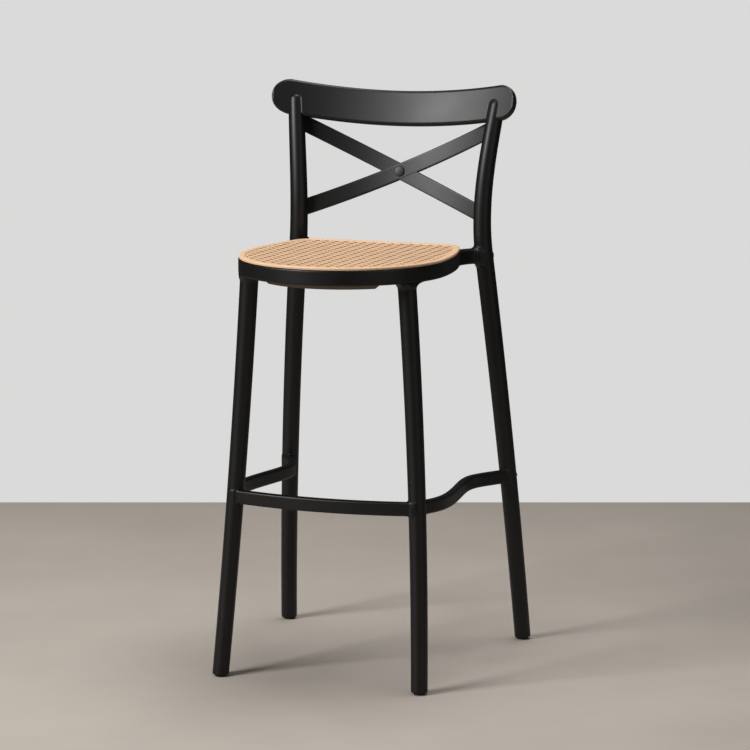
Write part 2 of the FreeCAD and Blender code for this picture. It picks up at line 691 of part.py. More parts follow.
def brace_spigots(extra):
    return [brace_spigot_at(1, level, extra) for level in (-1, 1)]


def cross_brace():
    """Both slats as one bowed moulding, trimmed to the posts and crest rail, with a spigot at each end."""
    half_run = brace_half_run()
    cross = brace_slat(BRACE_SLOPE, half_run).fuse(brace_slat(-BRACE_SLOPE, half_run)).removeSplitter()
    slab = bowed_slab(half_run, BRACE_BOW, BRACE_THICKNESS, -150, 150)
    body = cross.common(slab)
    body.Placement = brace_placement()
    post = rear_leg_body(JOINT_GAP)
    crest = crest_board()
    crest.translate(Vector(0, 0, -JOINT_GAP))
    body = body.cut([post, mirrored(post), crest])
    body = max(body.Solids, key=lambda solid: solid.Volume)
    pins = brace_spigots(0)
    body = body.fuse(pins + [mirrored(pin) for pin in pins])
    hole = rod(Vector(0, -5, 0), Vector(0, 1, 0), BUTTON_STEM_RADIUS + JOINT_GAP, BRACE_THICKNESS + 10)
    hole.Placement = brace_placement().multiply(hole.Placement)
    return body.cut(hole)


def cross_button():
    """Round domed button with a stem pressed through the crossing."""
    back = Vector(0, 1, 0)
    face = -BUTTON_HEIGHT - JOINT_GAP
    disc = rod(Vector(0, face, 0), back, BUTTON_RADIUS, BUTTON_HEIGHT)
    front = [e for e in disc.Edges if e.BoundBox.YMax < face + BUTTON_HEIGHT / 2]
    disc = disc.makeFillet(BUTTON_HEIGHT * 0.6, front)
    button = disc.fuse(rod(Vector(0, face + 1, 0), back, BUTTON_STEM_RADIUS, BRACE_THICKNESS))
    button.Placement = brace_placement()
    return button


def seat_panel():
    """Seat panel: rimmed plate, a skirt in the ring's opening, deeper at the front, and screw bosses."""
    top = RING_TOP + PANEL_THICKNESS
    plate = seat_plate(PANEL_INSET, RING_TOP, top)
    rims = [e for e in plate.Edges if e.BoundBox.ZMin > top - 0.1]
    plate = plate.makeFillet(2.0, rims)
    plate = plate.cut(seat_plate(PANEL_INSET + PANEL_RIM_WIDTH, top - PANEL_DISH, top + 1))
    outer = RING_WIDTH + JOINT_GAP
    inner = outer + SKIRT_THICKNESS
    skirt = seat_plate(outer, RING_BOTTOM + 2, RING_TOP)
    skirt = skirt.cut(seat_plate(inner, RING_BOTTOM + 1, RING_TOP + 1))
    deep = seat_plate(outer, RING_BOTTOM - SKIRT_DEPTH, RING_TOP)
    deep = deep.cut(seat_plate(inner, RING_BOTTOM - SKIRT_DEPTH - 1, RING_TOP + 1)).common(skirt_window())
    body = plate.fuse([skirt, deep])
    bosses = [rod(boss + UP * 0.5, -UP, BOSS_RADIUS, BOSS_DEPTH + 0.5) for boss in boss_places()]
    holes = [screw_hole(panel_screw_place(boss), UP, PANEL_SCREW_LENGTH, 0) for boss in boss_places()]
    return body.fuse(bosses).cut(holes)


def skirt_window():
    """The front part of the skirt that reaches below the ring, with ends cut at 45 degrees."""
    low = RING_BOTTOM - SKIRT_DEPTH
    w = SKIRT_HALF_WIDTH
    rise = SKIRT_DEPTH + RING_HEIGHT / 2
    roof = low + rise
    corners = [Vector(-w, 0, low), Vector(w, 0, low), Vector(w + rise, 0, roof), Vector(-w - rise, 0, roof)]
    outline = Part.makePolygon(corners + corners[:1])
    outline.translate(Vector(0, SEAT_FRONT_Y, 0))
    return Part.Face(outline).extrude(Vector(0, SEAT_RADIUS, 0))


def glide_hole(foot):
    return rod(Vector(foot.x, foot.y, GLIDE_HEIGHT - 1), UP, GLIDE_STEM_RADIUS + JOINT_GAP,
               GLIDE_STEM_LENGTH + 1 + JOINT_GAP)


def foot_glide(foot):
    """Round glide with a stem that plugs into the leg's end."""
    disc = rod(Vector(foot.x, foot.y, 0), UP, GLIDE_RADIUS, GLIDE_HEIGHT)
    disc = disc.makeFillet(1.2, [e for e in disc.Edges if e.BoundBox.ZMax < 0.1])
    stem_start = Vector(foot.x, foot.y, GLIDE_HEIGHT - 0.5)
    return disc.fuse(rod(stem_start, UP, GLIDE_STEM_RADIUS, GLIDE_STEM_LENGTH + 0.5))


def bolt_cap():
    """Cover cap over the rear bolt's head, with a domed face."""
    direction = rear_bolt_direction()
    cap = rod(cap_place(), direction, CAP_RADIUS, CAP_HEIGHT)
    outer = [e for e in cap.Edges if (e.CenterOfMass - cap_place()).Length < 0.5]
    return cap.makeFillet(1.0, outer)


def pair(shape):
    """A right-hand solid and its mirror image, as one group."""
    return Part.makeCompound([shape, mirrored(shape)])


def front_leg_bolts():
    return pair(bolt(front_bolt_place(), -UP, front_bolt_length()))


def front_leg_inserts():
    x, y = front_leg_top()
    return pair(insert(Vector(x, y, RING_BOTTOM + SPIGOT_LENGTH), -UP))


def rear_leg_bolts():
    return pair(bolt(rear_bolt_place(), rear_bolt_direction(), rear_bolt_length()))


def rear_arm_inserts():
    return pair(insert(rear_insert_place(), rear_bolt_direction()))


def seat_panel_screws():
    return Part.makeCompound([screw(panel_screw_place(b), UP, PANEL_SCREW_LENGTH) for b in boss_places()])


def crest_screws():
    return pair(screw(crest_screw_place(), crest_screw_direction(), CREST_SCREW_LENGTH))


def footrest_screws():
    front = screw(front_rail_screw_place(), Vector(0, -1, 0), FRONT_SCREW_LENGTH)
    side = screw(side_rail_screw_place(), side_rail_screw_direction(), SIDE_SCREW_LENGTH)
    return Part.makeCompound([front, mirrored(front), side, mirrored(side)])


def all_pieces():
    """Every node's name with its shape, each left piece mirrored from its right one."""
    pieces = {
        "seat_ring": seat_ring(),
        "front_footrest_rail": front_footrest_rail(),
        "crest_rail": crest_rail(),
        "cross_brace": cross_brace(),
        "cross_button": cross_button(),
        "seat_panel": seat_panel(),
        "seat_panel_screws": seat_panel_screws(),
        "front_leg_bolts": front_leg_bolts(),
        "front_leg_inserts": front_leg_inserts(),
        "rear_leg_bolts": rear_leg_bolts(),
        "rear_arm_inserts": rear_arm_inserts(),
        "crest_screws": crest_screws(),
        "footrest_screws": footrest_screws(),
    }
    handed = {
        "front_leg": front_leg(),
        "rear_leg": rear_leg(),
        "side_footrest_rail": side_footrest_rail(),
        "rear_bolt_cap": bolt_cap(),
        "foot_glide_front": foot_glide(front_leg_axis(GLIDE_HEIGHT)),
        "foot_glide_rear": foot_glide(rear_leg_axis(GLIDE_HEIGHT)),
    }
    for name, shape in handed.items():
        pieces[name + "_right"] = shape
        pieces[name + "_left"] = mirrored(shape)
    return pieces


def main():
    """Builds every piece, sets the origin at the stool's bottom centre and writes one file each."""
    pieces = all_pieces()
    depths = [point.y for shape in pieces.values() for point in shape.tessellate(SURFACE_STEP)[0]]
    shift = Vector(0, -(min(depths) + max(depths)) / 2, 0)
    for name, shape in sorted(pieces.items()):
        shape.translate(shift)
        shape.exportStep("parts/" + name + ".step")
        print(name, len(shape.Solids), round(shape.Volume / 1000, 2), shape.isValid())
    print("moved by y", round(shift.y, 3))


main()
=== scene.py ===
import math

import bpy
import numpy as np
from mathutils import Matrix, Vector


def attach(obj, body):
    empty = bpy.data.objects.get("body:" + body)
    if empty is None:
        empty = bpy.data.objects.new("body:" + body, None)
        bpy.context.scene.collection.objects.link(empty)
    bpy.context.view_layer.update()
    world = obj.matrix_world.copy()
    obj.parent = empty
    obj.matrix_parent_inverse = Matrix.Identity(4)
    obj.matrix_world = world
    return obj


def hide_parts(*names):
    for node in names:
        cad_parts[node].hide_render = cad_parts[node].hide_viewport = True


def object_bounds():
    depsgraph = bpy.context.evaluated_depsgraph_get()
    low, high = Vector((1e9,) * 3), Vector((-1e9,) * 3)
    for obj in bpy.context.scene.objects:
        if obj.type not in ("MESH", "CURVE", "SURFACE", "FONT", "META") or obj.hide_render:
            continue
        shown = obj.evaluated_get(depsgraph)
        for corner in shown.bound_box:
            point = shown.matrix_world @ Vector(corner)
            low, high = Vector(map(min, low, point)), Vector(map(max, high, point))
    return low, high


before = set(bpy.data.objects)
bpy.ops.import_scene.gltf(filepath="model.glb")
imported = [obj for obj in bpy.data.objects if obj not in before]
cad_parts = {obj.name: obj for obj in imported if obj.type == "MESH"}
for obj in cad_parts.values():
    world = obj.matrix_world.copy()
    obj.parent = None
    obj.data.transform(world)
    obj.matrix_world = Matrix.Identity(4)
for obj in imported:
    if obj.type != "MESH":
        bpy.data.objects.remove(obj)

CAD_BOX = [[float(v) for v in corner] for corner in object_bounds()]

# ---------------------------------------------------------------- the studio
# A pale floor that ends behind the stool, a pale grey surround, a broad soft light from the front
# left, a weak one from the right and one overhead, and the camera half a metre above the crest rail.
FLOOR_COLOUR = (0.40, 0.355, 0.31, 1)
SURROUND_COLOUR = (1.0, 1.0, 0.995, 1)
SURROUND_SEEN = 0.70        # the surround as the camera sees it
SURROUND_GLOW = 0.05        # the light that it gives
FLOOR_BACK = 1.46           # metres from the stool's middle to the floor's far edge
FLOOR_FRONT = 2.6
FLOOR_HALF_WIDTH = 2.6
CAMERA_TURN = math.radians(20.15)
CAMERA_TILT = math.radians(80.59)
CAMERA_PLACE = (2.1424, -5.7520, 1.5580)
CAMERA_LENS = 160.7


def node_material(name):
    """A new material with an empty principled shader, and its node tree."""
    material = bpy.data.materials.new(name)
    material.use_nodes = True
    tree = material.node_tree
    return material, tree, tree.nodes["Principled BSDF"]


def noise(tree, scale, detail=3.0, roughness=0.5):
    """Noise on the piece's own coordinates. Scale is in cycles per metre."""
    place = tree.nodes.new("ShaderNodeTexCoord")
    texture = tree.nodes.new("ShaderNodeTexNoise")
    texture.inputs["Scale"].default_value = scale
    texture.inputs["Detail"].default_value = detail
    texture.inputs["Roughness"].default_value = roughness
    tree.links.new(place.outputs["Object"], texture.inputs["Vector"])
    return texture.outputs["Fac"]


def ramp(tree, value, low, high, start=0.3, end=0.7):
    """Two colours or greys mixed by a value that runs from start to end."""
    band = tree.nodes.new("ShaderNodeValToRGB")
    band.color_ramp.elements[0].position = start
    band.color_ramp.elements[1].position = end
    band.color_ramp.elements[0].color = low if isinstance(low, tuple) else (low, low, low, 1)
    band.color_ramp.elements[1].color = high if isinstance(high, tuple) else (high, high, high, 1)
    tree.links.new(value, band.inputs["Fac"])
    return band.outputs["Color"]


def bump(tree, shader, value, distance, strength, under=None):
    """Adds relief of a stated depth in metres to the shader's normal, on top of another bump if one is
    given."""
    relief = tree.nodes.new("ShaderNodeBump")
    relief.inputs["Distance"].default_value = distance
    relief.inputs["Strength"].default_value = strength
    tree.links.new(value, relief.inputs["Height"])
    if under is not None:
        tree.links.new(under, relief.inputs["Normal"])
    tree.links.new(relief.outputs["Normal"], shader.inputs["Normal"])
    return relief.outputs["Normal"]
def shade(colour, factor):
    """A colour made darker or lighter: each of its three parts times the factor."""
    return tuple(factor * part for part in colour[:3]) + (1,)


floor_corners = np.array([[-FLOOR_HALF_WIDTH, -FLOOR_FRONT], [FLOOR_HALF_WIDTH, -FLOOR_FRONT],
                          [FLOOR_HALF_WIDTH, FLOOR_BACK], [-FLOOR_HALF_WIDTH, FLOOR_BACK]])
camera_way = np.array([[math.cos(CAMERA_TURN), math.sin(CAMERA_TURN)],
                       [-math.sin(CAMERA_TURN), math.cos(CAMERA_TURN)]])
floor_corners = np.column_stack([floor_corners @ camera_way, np.zeros(4)])
floor_mesh = bpy.data.meshes.new("floor")
floor_mesh.from_pydata(floor_corners.tolist(), [], [(0, 1, 2, 3)])
floor = bpy.data.objects.new("floor", floor_mesh)
bpy.context.scene.collection.objects.link(floor)
floor_material, tree, shader = node_material("pale_floor")
floor_tone = ramp(tree, noise(tree, scale=2.2, detail=5.0, roughness=0.6),
                  low=shade(FLOOR_COLOUR, 0.93), high=shade(FLOOR_COLOUR, 1.05))
tree.links.new(floor_tone, shader.inputs["Base Color"])
shader.inputs["Roughness"].default_value = 0.75
bump(tree, shader, noise(tree, scale=60.0), distance=0.001, strength=0.15)
floor.data.materials.append(floor_material)

world = bpy.data.worlds.new("surround")
bpy.context.scene.world = world
world.use_nodes = True
surround = world.node_tree
backdrop = surround.nodes["Background"]
backdrop.inputs["Color"].default_value = SURROUND_COLOUR
ray = surround.nodes.new("ShaderNodeLightPath")
level_mix = surround.nodes.new("ShaderNodeMapRange")
level_mix.inputs["To Min"].default_value = SURROUND_GLOW
level_mix.inputs["To Max"].default_value = SURROUND_SEEN
surround.links.new(ray.outputs["Is Camera Ray"], level_mix.inputs["Value"])
surround.links.new(level_mix.outputs["Result"], backdrop.inputs["Strength"])
bpy.context.scene.view_settings.view_transform = "Standard"


def soft_light(name, place, aim, size, power):
    """A square area light at a place, turned towards another."""
    lamp = bpy.data.lights.new(name, "AREA")
    lamp.size = size
    lamp.energy = power
    holder = bpy.data.objects.new(name, lamp)
    way = np.array(aim, float) - np.array(place, float)
    tilt = math.atan2(math.hypot(way[0], way[1]), -way[2])
    holder.location = place
    holder.rotation_euler = (tilt, 0, math.atan2(-way[0], way[1]))
    bpy.context.scene.collection.objects.link(holder)


soft_light("key", place=(-2.15, -2.75, 2.5), aim=(0.0, 0.0, 0.6), size=1.4, power=168)
soft_light("fill", place=(2.8, -1.5, 1.6), aim=(0.0, 0.0, 0.7), size=2.2, power=12)
soft_light("top", place=(0.2, 0.3, 3.4), aim=(0.0, 0.0, 0.7), size=1.6, power=74)

camera = bpy.data.objects.new("camera", bpy.data.cameras.new("camera"))
camera.data.lens = CAMERA_LENS
camera.data.sensor_width = 36.0
camera.data.clip_end = 50.0
camera.location = CAMERA_PLACE
camera.rotation_euler = (CAMERA_TILT, 0.0, CAMERA_TURN)
bpy.context.scene.collection.objects.link(camera)
bpy.context.scene.camera = camera

# ---------------------------------------------------------------- rear legs and back posts
# Each rear leg runs on upwards as the back post: one round moulding that splays down to the floor,
# bends at the seat and ends in a domed tip let into the crest rail. Lengths below are millimetres.
SEAT_FRONT_Y = -291.0
DEPTH_SHIFT = 1000 * CAD_BOX[0][1] - SEAT_FRONT_Y       # from the depths below to the stool's own
RING_TOP = 771.5
RING_BOTTOM = 743.0
SEAT_JOINT = 752.0
GLIDE_HEIGHT = 4.5
REAR_FOOT = (242.5, 233.0)
POST_SEAT = (187.3, 148.8)
POST_TIP_PLAN = (201.5, 178.2)
POST_TIP = 1031.0
REAR_LEG_BOW = (4.7, -2.8)
POST_TIP_SLOPE = (0.115, 0.26)
FOOT_RADIUS = 15.4
REAR_LEG_TOP_RADIUS = 17.2
POST_TIP_RADIUS = 15.2
TIP_ARC = (8, 88)           # degrees of the dome's quarter circle that its rows cover
TIP_FLAT_START = 2.0        # from the crest rail's lower edge up to where the tip's back is flat
FOOT_EDGE_RISE = (0.0, 0.4, 1.2)    # rows that round a foot's lower edge, above the glide
FOOT_EDGE_LOSS = (1.2, 0.35, 0.0)   # how much narrower the leg is at each of them
FOOT_PLAIN = 7.0            # height of the first plain row of a leg
SHARP_ANGLE = math.radians(38)      # faces that meet more sharply than this keep a crisp edge
BLACK = (0.0016, 0.0016, 0.0016, 1)
BLACK_WORN = (0.0034, 0.0033, 0.0032, 1)


def skin(name, grid, round_rows=False, sides=(1,)):
    """Meshes a grid of points in millimetres. Each row of the grid is a closed loop and is joined to the
    next, the last to the first if round_rows is set, and otherwise each end loop is closed by a fan to its
    mean point. For each value in sides, x is multiplied by it, so (1, -1) adds the mirror image. Faces are
    turned outwards by the sign of the enclosed volume, which is the sum of triple products over the
    triangles."""
    rows, columns = grid.shape[:2]
    index = np.arange(rows * columns).reshape(rows, columns)
    below = index if round_rows else index[:-1]
    above = np.roll(index, -1, axis=0) if round_rows else index[1:]
    quads = np.stack([below, np.roll(below, -1, 1), np.roll(above, -1, 1), above], -1).reshape(-1, 4)
    points = grid.reshape(-1, 3)
    tris = np.zeros((0, 3), int)
    if not round_rows:
        points = np.vstack([points, grid[0].mean(0), grid[-1].mean(0)])
        first = np.full(columns, rows * columns)
        tris = np.vstack([np.column_stack([first, np.roll(index[0], -1), index[0]]),
                          np.column_stack([first + 1, index[-1], np.roll(index[-1], -1)])])
    split = np.vstack([quads[:, [0, 1, 2]], quads[:, [0, 2, 3]], tris])
    corner = points[split] - points.mean(0)
    volume = np.einsum("ij,ij->i", corner[:, 0], np.cross(corner[:, 1], corner[:, 2])).sum()
    if volume < 0:
        quads, tris = quads[:, ::-1], tris[:, ::-1]
    all_points, loops, starts, offset, total = [], [], [], 0, 0
    for side in sides:
        q = quads if side > 0 else quads[:, ::-1]
        t = tris if side > 0 else tris[:, ::-1]
        all_points.append(points * (side, 1, 1))
        loops += [(q + offset).ravel(), (t + offset).ravel()]
        starts += [total + 4 * np.arange(len(q)), total + 4 * len(q) + 3 * np.arange(len(t))]
        offset += len(points)
        total += 4 * len(q) + 3 * len(t)
    place = (np.vstack(all_points) + (0, DEPTH_SHIFT, 0)) / 1000
    mesh = bpy.data.meshes.new(name)
    mesh.vertices.add(len(place))
    mesh.vertices.foreach_set("co", place.ravel())
    mesh.loops.add(total)
    mesh.loops.foreach_set("vertex_index", np.concatenate(loops).astype(np.int32))
    starts = np.concatenate(starts).astype(np.int32)
    mesh.polygons.add(len(starts))
    mesh.polygons.foreach_set("loop_start", starts)
    mesh.update(calc_edges=True)
    mesh.validate()
    mesh.polygons.foreach_set("use_smooth", np.ones(len(mesh.polygons), bool))
    mesh.set_sharp_from_angle(angle=SHARP_ANGLE)
    return mesh


def piece(name, mesh, material, slot, *nodes):
    """Puts a mesh in the scene, with its material, under the stool's root, as a piece that stands for some
    nodes, and hides those nodes. The slot is not used."""
    thing = bpy.data.objects.new(name, mesh)
    bpy.context.scene.collection.objects.link(thing)
    mesh.materials.append(material)
    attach(thing, "root")
    if nodes:
        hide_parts(*nodes)
    return thing


def unit(vectors):
    """Each vector divided by its length."""
    return vectors / np.linalg.norm(vectors, axis=-1, keepdims=True)


def chord_curve(foot, top, bow, share):
    """A straight line from foot to top plus a parabola that stands off it by bow at the middle, in plan."""
    lift = 4 * share * (1 - share)
    return np.stack([foot[k] + (top[k] - foot[k]) * share + bow[k] * lift for k in range(2)], -1)


def rear_axis(z):
    """The rear leg's axis at heights z: a bowed chord up to the seat joint, and above it a cubic that
    starts along the leg's own slope and ends along the tip's."""
    z = np.asarray(z, float)
    leg = chord_curve(REAR_FOOT, POST_SEAT, REAR_LEG_BOW, np.minimum(z, SEAT_JOINT) / SEAT_JOINT)
    rise = POST_TIP - SEAT_JOINT
    s = (np.maximum(z, SEAT_JOINT) - SEAT_JOINT) / rise
    post = np.zeros(leg.shape)
    for k in range(2):
        slope = (POST_SEAT[k] - REAR_FOOT[k] - 4 * REAR_LEG_BOW[k]) / SEAT_JOINT
        post[..., k] = (POST_SEAT[k] * (2 * s ** 3 - 3 * s ** 2 + 1)
                        + slope * rise * (s ** 3 - 2 * s ** 2 + s)
                        + POST_TIP_PLAN[k] * (3 * s ** 2 - 2 * s ** 3)
                        + POST_TIP_SLOPE[k] * rise * (s ** 3 - s ** 2))
    plan = np.where((z <= SEAT_JOINT)[..., None], leg, post)
    return np.concatenate([plan, z[..., None]], -1)


def rear_radius(z):
    """Radius of the rear leg: growing evenly up to the seat joint, and shrinking evenly up the post."""
    low = FOOT_RADIUS + (REAR_LEG_TOP_RADIUS - FOOT_RADIUS) * z / SEAT_JOINT
    above = z - SEAT_JOINT
    high = REAR_LEG_TOP_RADIUS + (POST_TIP_RADIUS - REAR_LEG_TOP_RADIUS) * above / (POST_TIP - SEAT_JOINT)
    return np.where(z <= SEAT_JOINT, low, high)


def round_bar(path, radius, columns=64):
    """Circles of stated radii square to a path: each point is the path's plus radius times cosine along one
    crosswise direction plus radius times sine along the other."""
    along = unit(np.gradient(path, axis=0))
    across = unit(np.cross(along, (0.0, 1.0, 0.0)))
    forward = np.cross(along, across)
    turn = np.linspace(0, 2 * np.pi, columns, endpoint=False)
    circle = np.cos(turn)[None, :, None] * across[:, None] + np.sin(turn)[None, :, None] * forward[:, None]
    return path[:, None] + radius[:, None, None] * circle


def black_plastic(name, grain=0.16):
    """Satin black moulded plastic: a fine even grain, faint broad changes of tone, and slightly uneven
    sheen."""
    material, tree, shader = node_material(name)
    tone = ramp(tree, noise(tree, scale=7.0, detail=4.0), BLACK, BLACK_WORN, start=0.35, end=0.75)
    tree.links.new(tone, shader.inputs["Base Color"])
    sheen = ramp(tree, noise(tree, scale=12.0, detail=2.0), low=0.41, high=0.45)
    tree.links.new(sheen, shader.inputs["Roughness"])
    shader.inputs["Specular IOR Level"].default_value = 0.34
    bump(tree, shader, noise(tree, scale=1500.0, detail=2.0), distance=0.00008, strength=grain)
    return material


black = black_plastic("black_moulded_plastic")


def black_piece(name, grid, *nodes, round_rows=False, sides=(1,)):
    """A piece of the black plastic, meshed from its grid."""
    piece(name, skin(name, grid, round_rows, sides), black, "black_plastic", *nodes)


def black_pair(node, grid):
    """A piece on the right that stands for its node, and its mirror image on the left."""
    black_piece(node + "_right_shell", grid, node + "_right")
    black_piece(node + "_left_shell", grid[:, ::-1] * (-1, 1, 1), node + "_left")


# The tips end in the crest rail, so its size is needed here. The rail leans back: its own y runs
# back square to the lean, and its own z up along it.
CREST_LENGTH = 487.0
CREST_HEIGHT = 67.0
CREST_THICKNESS = 20.0
CREST_BOW = 45.0
CREST_LIFT = 14.0
CREST_LEAN = math.radians(15.0)
CREST_FRONT_Y = 193.0
CREST_MIDDLE = 1021.0
CREST_WALL = 4.0


def into_crest(points):
    """Points in the crest rail's own directions: turned by its lean about the front face's middle."""
    y, z = points[..., 1] - CREST_FRONT_Y, points[..., 2] - CREST_MIDDLE
    return np.stack([points[..., 0], y * math.cos(CREST_LEAN) - z * math.sin(CREST_LEAN),
                     y * math.sin(CREST_LEAN) + z * math.cos(CREST_LEAN)], -1)


def out_of_crest(points):
    """The reverse of into_crest."""
    y, z = points[..., 1], points[..., 2]
    return np.stack([points[..., 0], CREST_FRONT_Y + y * math.cos(CREST_LEAN) + z * math.sin(CREST_LEAN),
                     CREST_MIDDLE - y * math.sin(CREST_LEAN) + z * math.cos(CREST_LEAN)], -1)


def crest_front(x):
    """The front face's own y: a parabola that comes forward by the bow at the ends."""
    return -CREST_BOW * (2 * x / CREST_LENGTH) ** 2


def crest_lift(x):
    """How far the board's middle line stands above its height at the centre: a parabola."""
    return CREST_LIFT * (2 * x / CREST_LENGTH) ** 2


leg_rows = np.concatenate([GLIDE_HEIGHT + np.array(FOOT_EDGE_RISE), np.linspace(FOOT_PLAIN, POST_TIP, 240)])
leg_path = rear_axis(leg_rows)
leg_radius = rear_radius(leg_rows)
leg_radius[:3] -= FOOT_EDGE_LOSS
tip_turn = np.radians(np.linspace(*TIP_ARC, 12))
tip_way = unit(leg_path[-1] - leg_path[-2])
tip_path = leg_path[-1] + POST_TIP_RADIUS * np.sin(tip_turn)[:, None] * tip_way
leg_grid = round_bar(np.vstack([leg_path, tip_path]),
                     np.concatenate([leg_radius, POST_TIP_RADIUS * np.cos(tip_turn)]))
local = into_crest(leg_grid)
in_crest = local[..., 2] > crest_lift(local[..., 0]) - CREST_HEIGHT / 2 + TIP_FLAT_START
flat_back = crest_front(local[..., 0]) + CREST_THICKNESS - CREST_WALL
local[..., 1] = np.where(in_crest, np.minimum(local[..., 1], flat_back), local[..., 1])
black_pair("rear_leg", out_of_crest(local))

# ---------------------------------------------------------------- front legs
# Round mouldings that widen into a filleted head under the seat ring, flush with the ring's wall,
# and are bolted up into it through a spigot.
FRONT_FOOT = (194.5, -233.0)
FRONT_LEG_BOW = (1.8, 14.4)
FRONT_LEG_TOP_RADIUS = 17.0
LEG_HEAD_FILLET = 14.0
HEAD_ARC = (4, 88)          # degrees of the fillet's quarter circle that its rows cover
HEAD_SHY = 0.2              # how far the head stays inside the ring's wall
SEAT_RADIUS = 194.0
SEAT_CENTRE_Y = -97.0
FRONT_LEG_INSET = 19.0      # from the seat's outline to the leg's axis
FRONT_LEG_REACH = SEAT_RADIUS - FRONT_LEG_INSET
FRONT_LEG_ANGLE = math.radians(60.2)
FRONT_TOP = (FRONT_LEG_REACH * math.sin(FRONT_LEG_ANGLE),
             SEAT_CENTRE_Y - FRONT_LEG_REACH * math.cos(FRONT_LEG_ANGLE))


def front_axis(z):
    """The front leg's axis at heights z: a bowed chord from the foot to the ring."""
    z = np.asarray(z, float)
    plan = chord_curve(FRONT_FOOT, FRONT_TOP, FRONT_LEG_BOW, z / RING_BOTTOM)
    return np.concatenate([plan, z[..., None]], -1)


def front_radius(z):
    """Radius of the front leg: growing evenly, then opening out under the ring by a quarter circle."""
    rise = np.clip(z - (RING_BOTTOM - LEG_HEAD_FILLET), 0, LEG_HEAD_FILLET)
    plain = FOOT_RADIUS + (FRONT_LEG_TOP_RADIUS - FOOT_RADIUS) * z / RING_BOTTOM
    return plain + LEG_HEAD_FILLET - np.sqrt(LEG_HEAD_FILLET ** 2 - rise ** 2)


head_start = RING_BOTTOM - LEG_HEAD_FILLET
head_turn = np.radians(np.linspace(*HEAD_ARC, 22))
front_rows = np.concatenate([GLIDE_HEIGHT + np.array(FOOT_EDGE_RISE),
                             np.linspace(FOOT_PLAIN, head_start, 150),
                             head_start + LEG_HEAD_FILLET * np.sin(head_turn)])
front_widths = front_radius(front_rows)
front_widths[:3] -= FOOT_EDGE_LOSS
level = np.linspace(0, 2 * np.pi, 72, endpoint=False)
circle = np.stack([np.cos(level), np.sin(level), 0 * level], -1)
front_grid = front_axis(front_rows)[:, None] + front_widths[:, None, None] * circle
reach = np.hypot(front_grid[..., 0], front_grid[..., 1] - SEAT_CENTRE_Y)
held = np.where(front_grid[..., 2] > head_start, np.minimum(1, (SEAT_RADIUS - HEAD_SHY) / reach), 1)
front_grid[..., 0] *= held
front_grid[..., 1] = SEAT_CENTRE_Y + (front_grid[..., 1] - SEAT_CENTRE_Y) * held
black_pair("front_leg", front_grid)

# ---------------------------------------------------------------- seat ring and arms
# One moulding: a ring round the seat with rounded upper and lower edges, and two arms that leave its
# back corners and swell where they meet the posts.
RING_WIDTH = 36.0
SEAT_SIDE_RADIUS = 520.0
SEAT_CORNER_RADIUS = 46.0
SEAT_BACK_Y = 108.0
RING_EDGE_RADIUS = 3.2
ARM_THICKNESS = 22.0
ARM_HEIGHT = 28.0
ARM_EDGE_RADIUS = 5.0
ARM_START = (0.98, -70.0)   # share of the corner's radius outwards, and depth from the corner's centre
ARM_WAIST = 0.66            # share of the corner's radius outwards, beside its centre
ARM_LEAD = (13.0, 56.0)     # outwards and back from the corner's centre, where it turns to the post
JOINT_SWELL = 8.0
CORNER_Y = SEAT_BACK_Y - SEAT_CORNER_RADIUS
CORNER_X = SEAT_RADIUS - SEAT_SIDE_RADIUS + math.sqrt(
    (SEAT_SIDE_RADIUS - SEAT_CORNER_RADIUS) ** 2 - (CORNER_Y - SEAT_CENTRE_Y) ** 2)


def seat_outline(front=260, side=110, corner=40, back=60):
    """Points round the seat's outline with their inward directions: a half circle, then on each side a
    wide arc and a corner arc, and a straight back. Each arc's point is its centre plus radius times its
    outward direction. The arguments are the numbers of points."""
    aim = math.atan2(CORNER_Y - SEAT_CENTRE_Y, CORNER_X - (SEAT_RADIUS - SEAT_SIDE_RADIUS))
    arcs = [((0.0, SEAT_CENTRE_Y), SEAT_RADIUS, -np.pi / 2, 0.0, front // 2),
            ((SEAT_RADIUS - SEAT_SIDE_RADIUS, SEAT_CENTRE_Y), SEAT_SIDE_RADIUS, 0.0, aim, side),
            ((CORNER_X, CORNER_Y), SEAT_CORNER_RADIUS, aim, np.pi / 2, corner)]
    base, inward = [], []
    for centre, radius, start, end, count in arcs:
        t = np.linspace(start, end, count, endpoint=False)
        out = np.stack([np.cos(t), np.sin(t)], -1)
        base.append(np.array(centre) + radius * out)
        inward.append(-out)
    line = np.linspace(CORNER_X, 0, back // 2, endpoint=False)
    base.append(np.stack([line, np.full(len(line), SEAT_BACK_Y)], -1))
    inward.append(np.tile((0.0, -1.0), (len(line), 1)))
    base, inward = np.vstack(base), np.vstack(inward)
    mirror = np.array([-1.0, 1.0])
    top = np.array([[0.0, SEAT_BACK_Y]])
    base = np.vstack([base, top, base[:0:-1] * mirror])
    inward = np.vstack([inward, [[0.0, -1.0]], inward[:0:-1] * mirror])
    return base, inward


def round_seat(inset, height):
    """A closed profile of insets and heights carried round the seat's outline."""
    base, inward = seat_outline()
    plan = base[:, None] + inward[:, None] * inset[None, :, None]
    return np.concatenate([plan, np.broadcast_to(height[None, :, None], plan.shape[:2] + (1,))], -1)


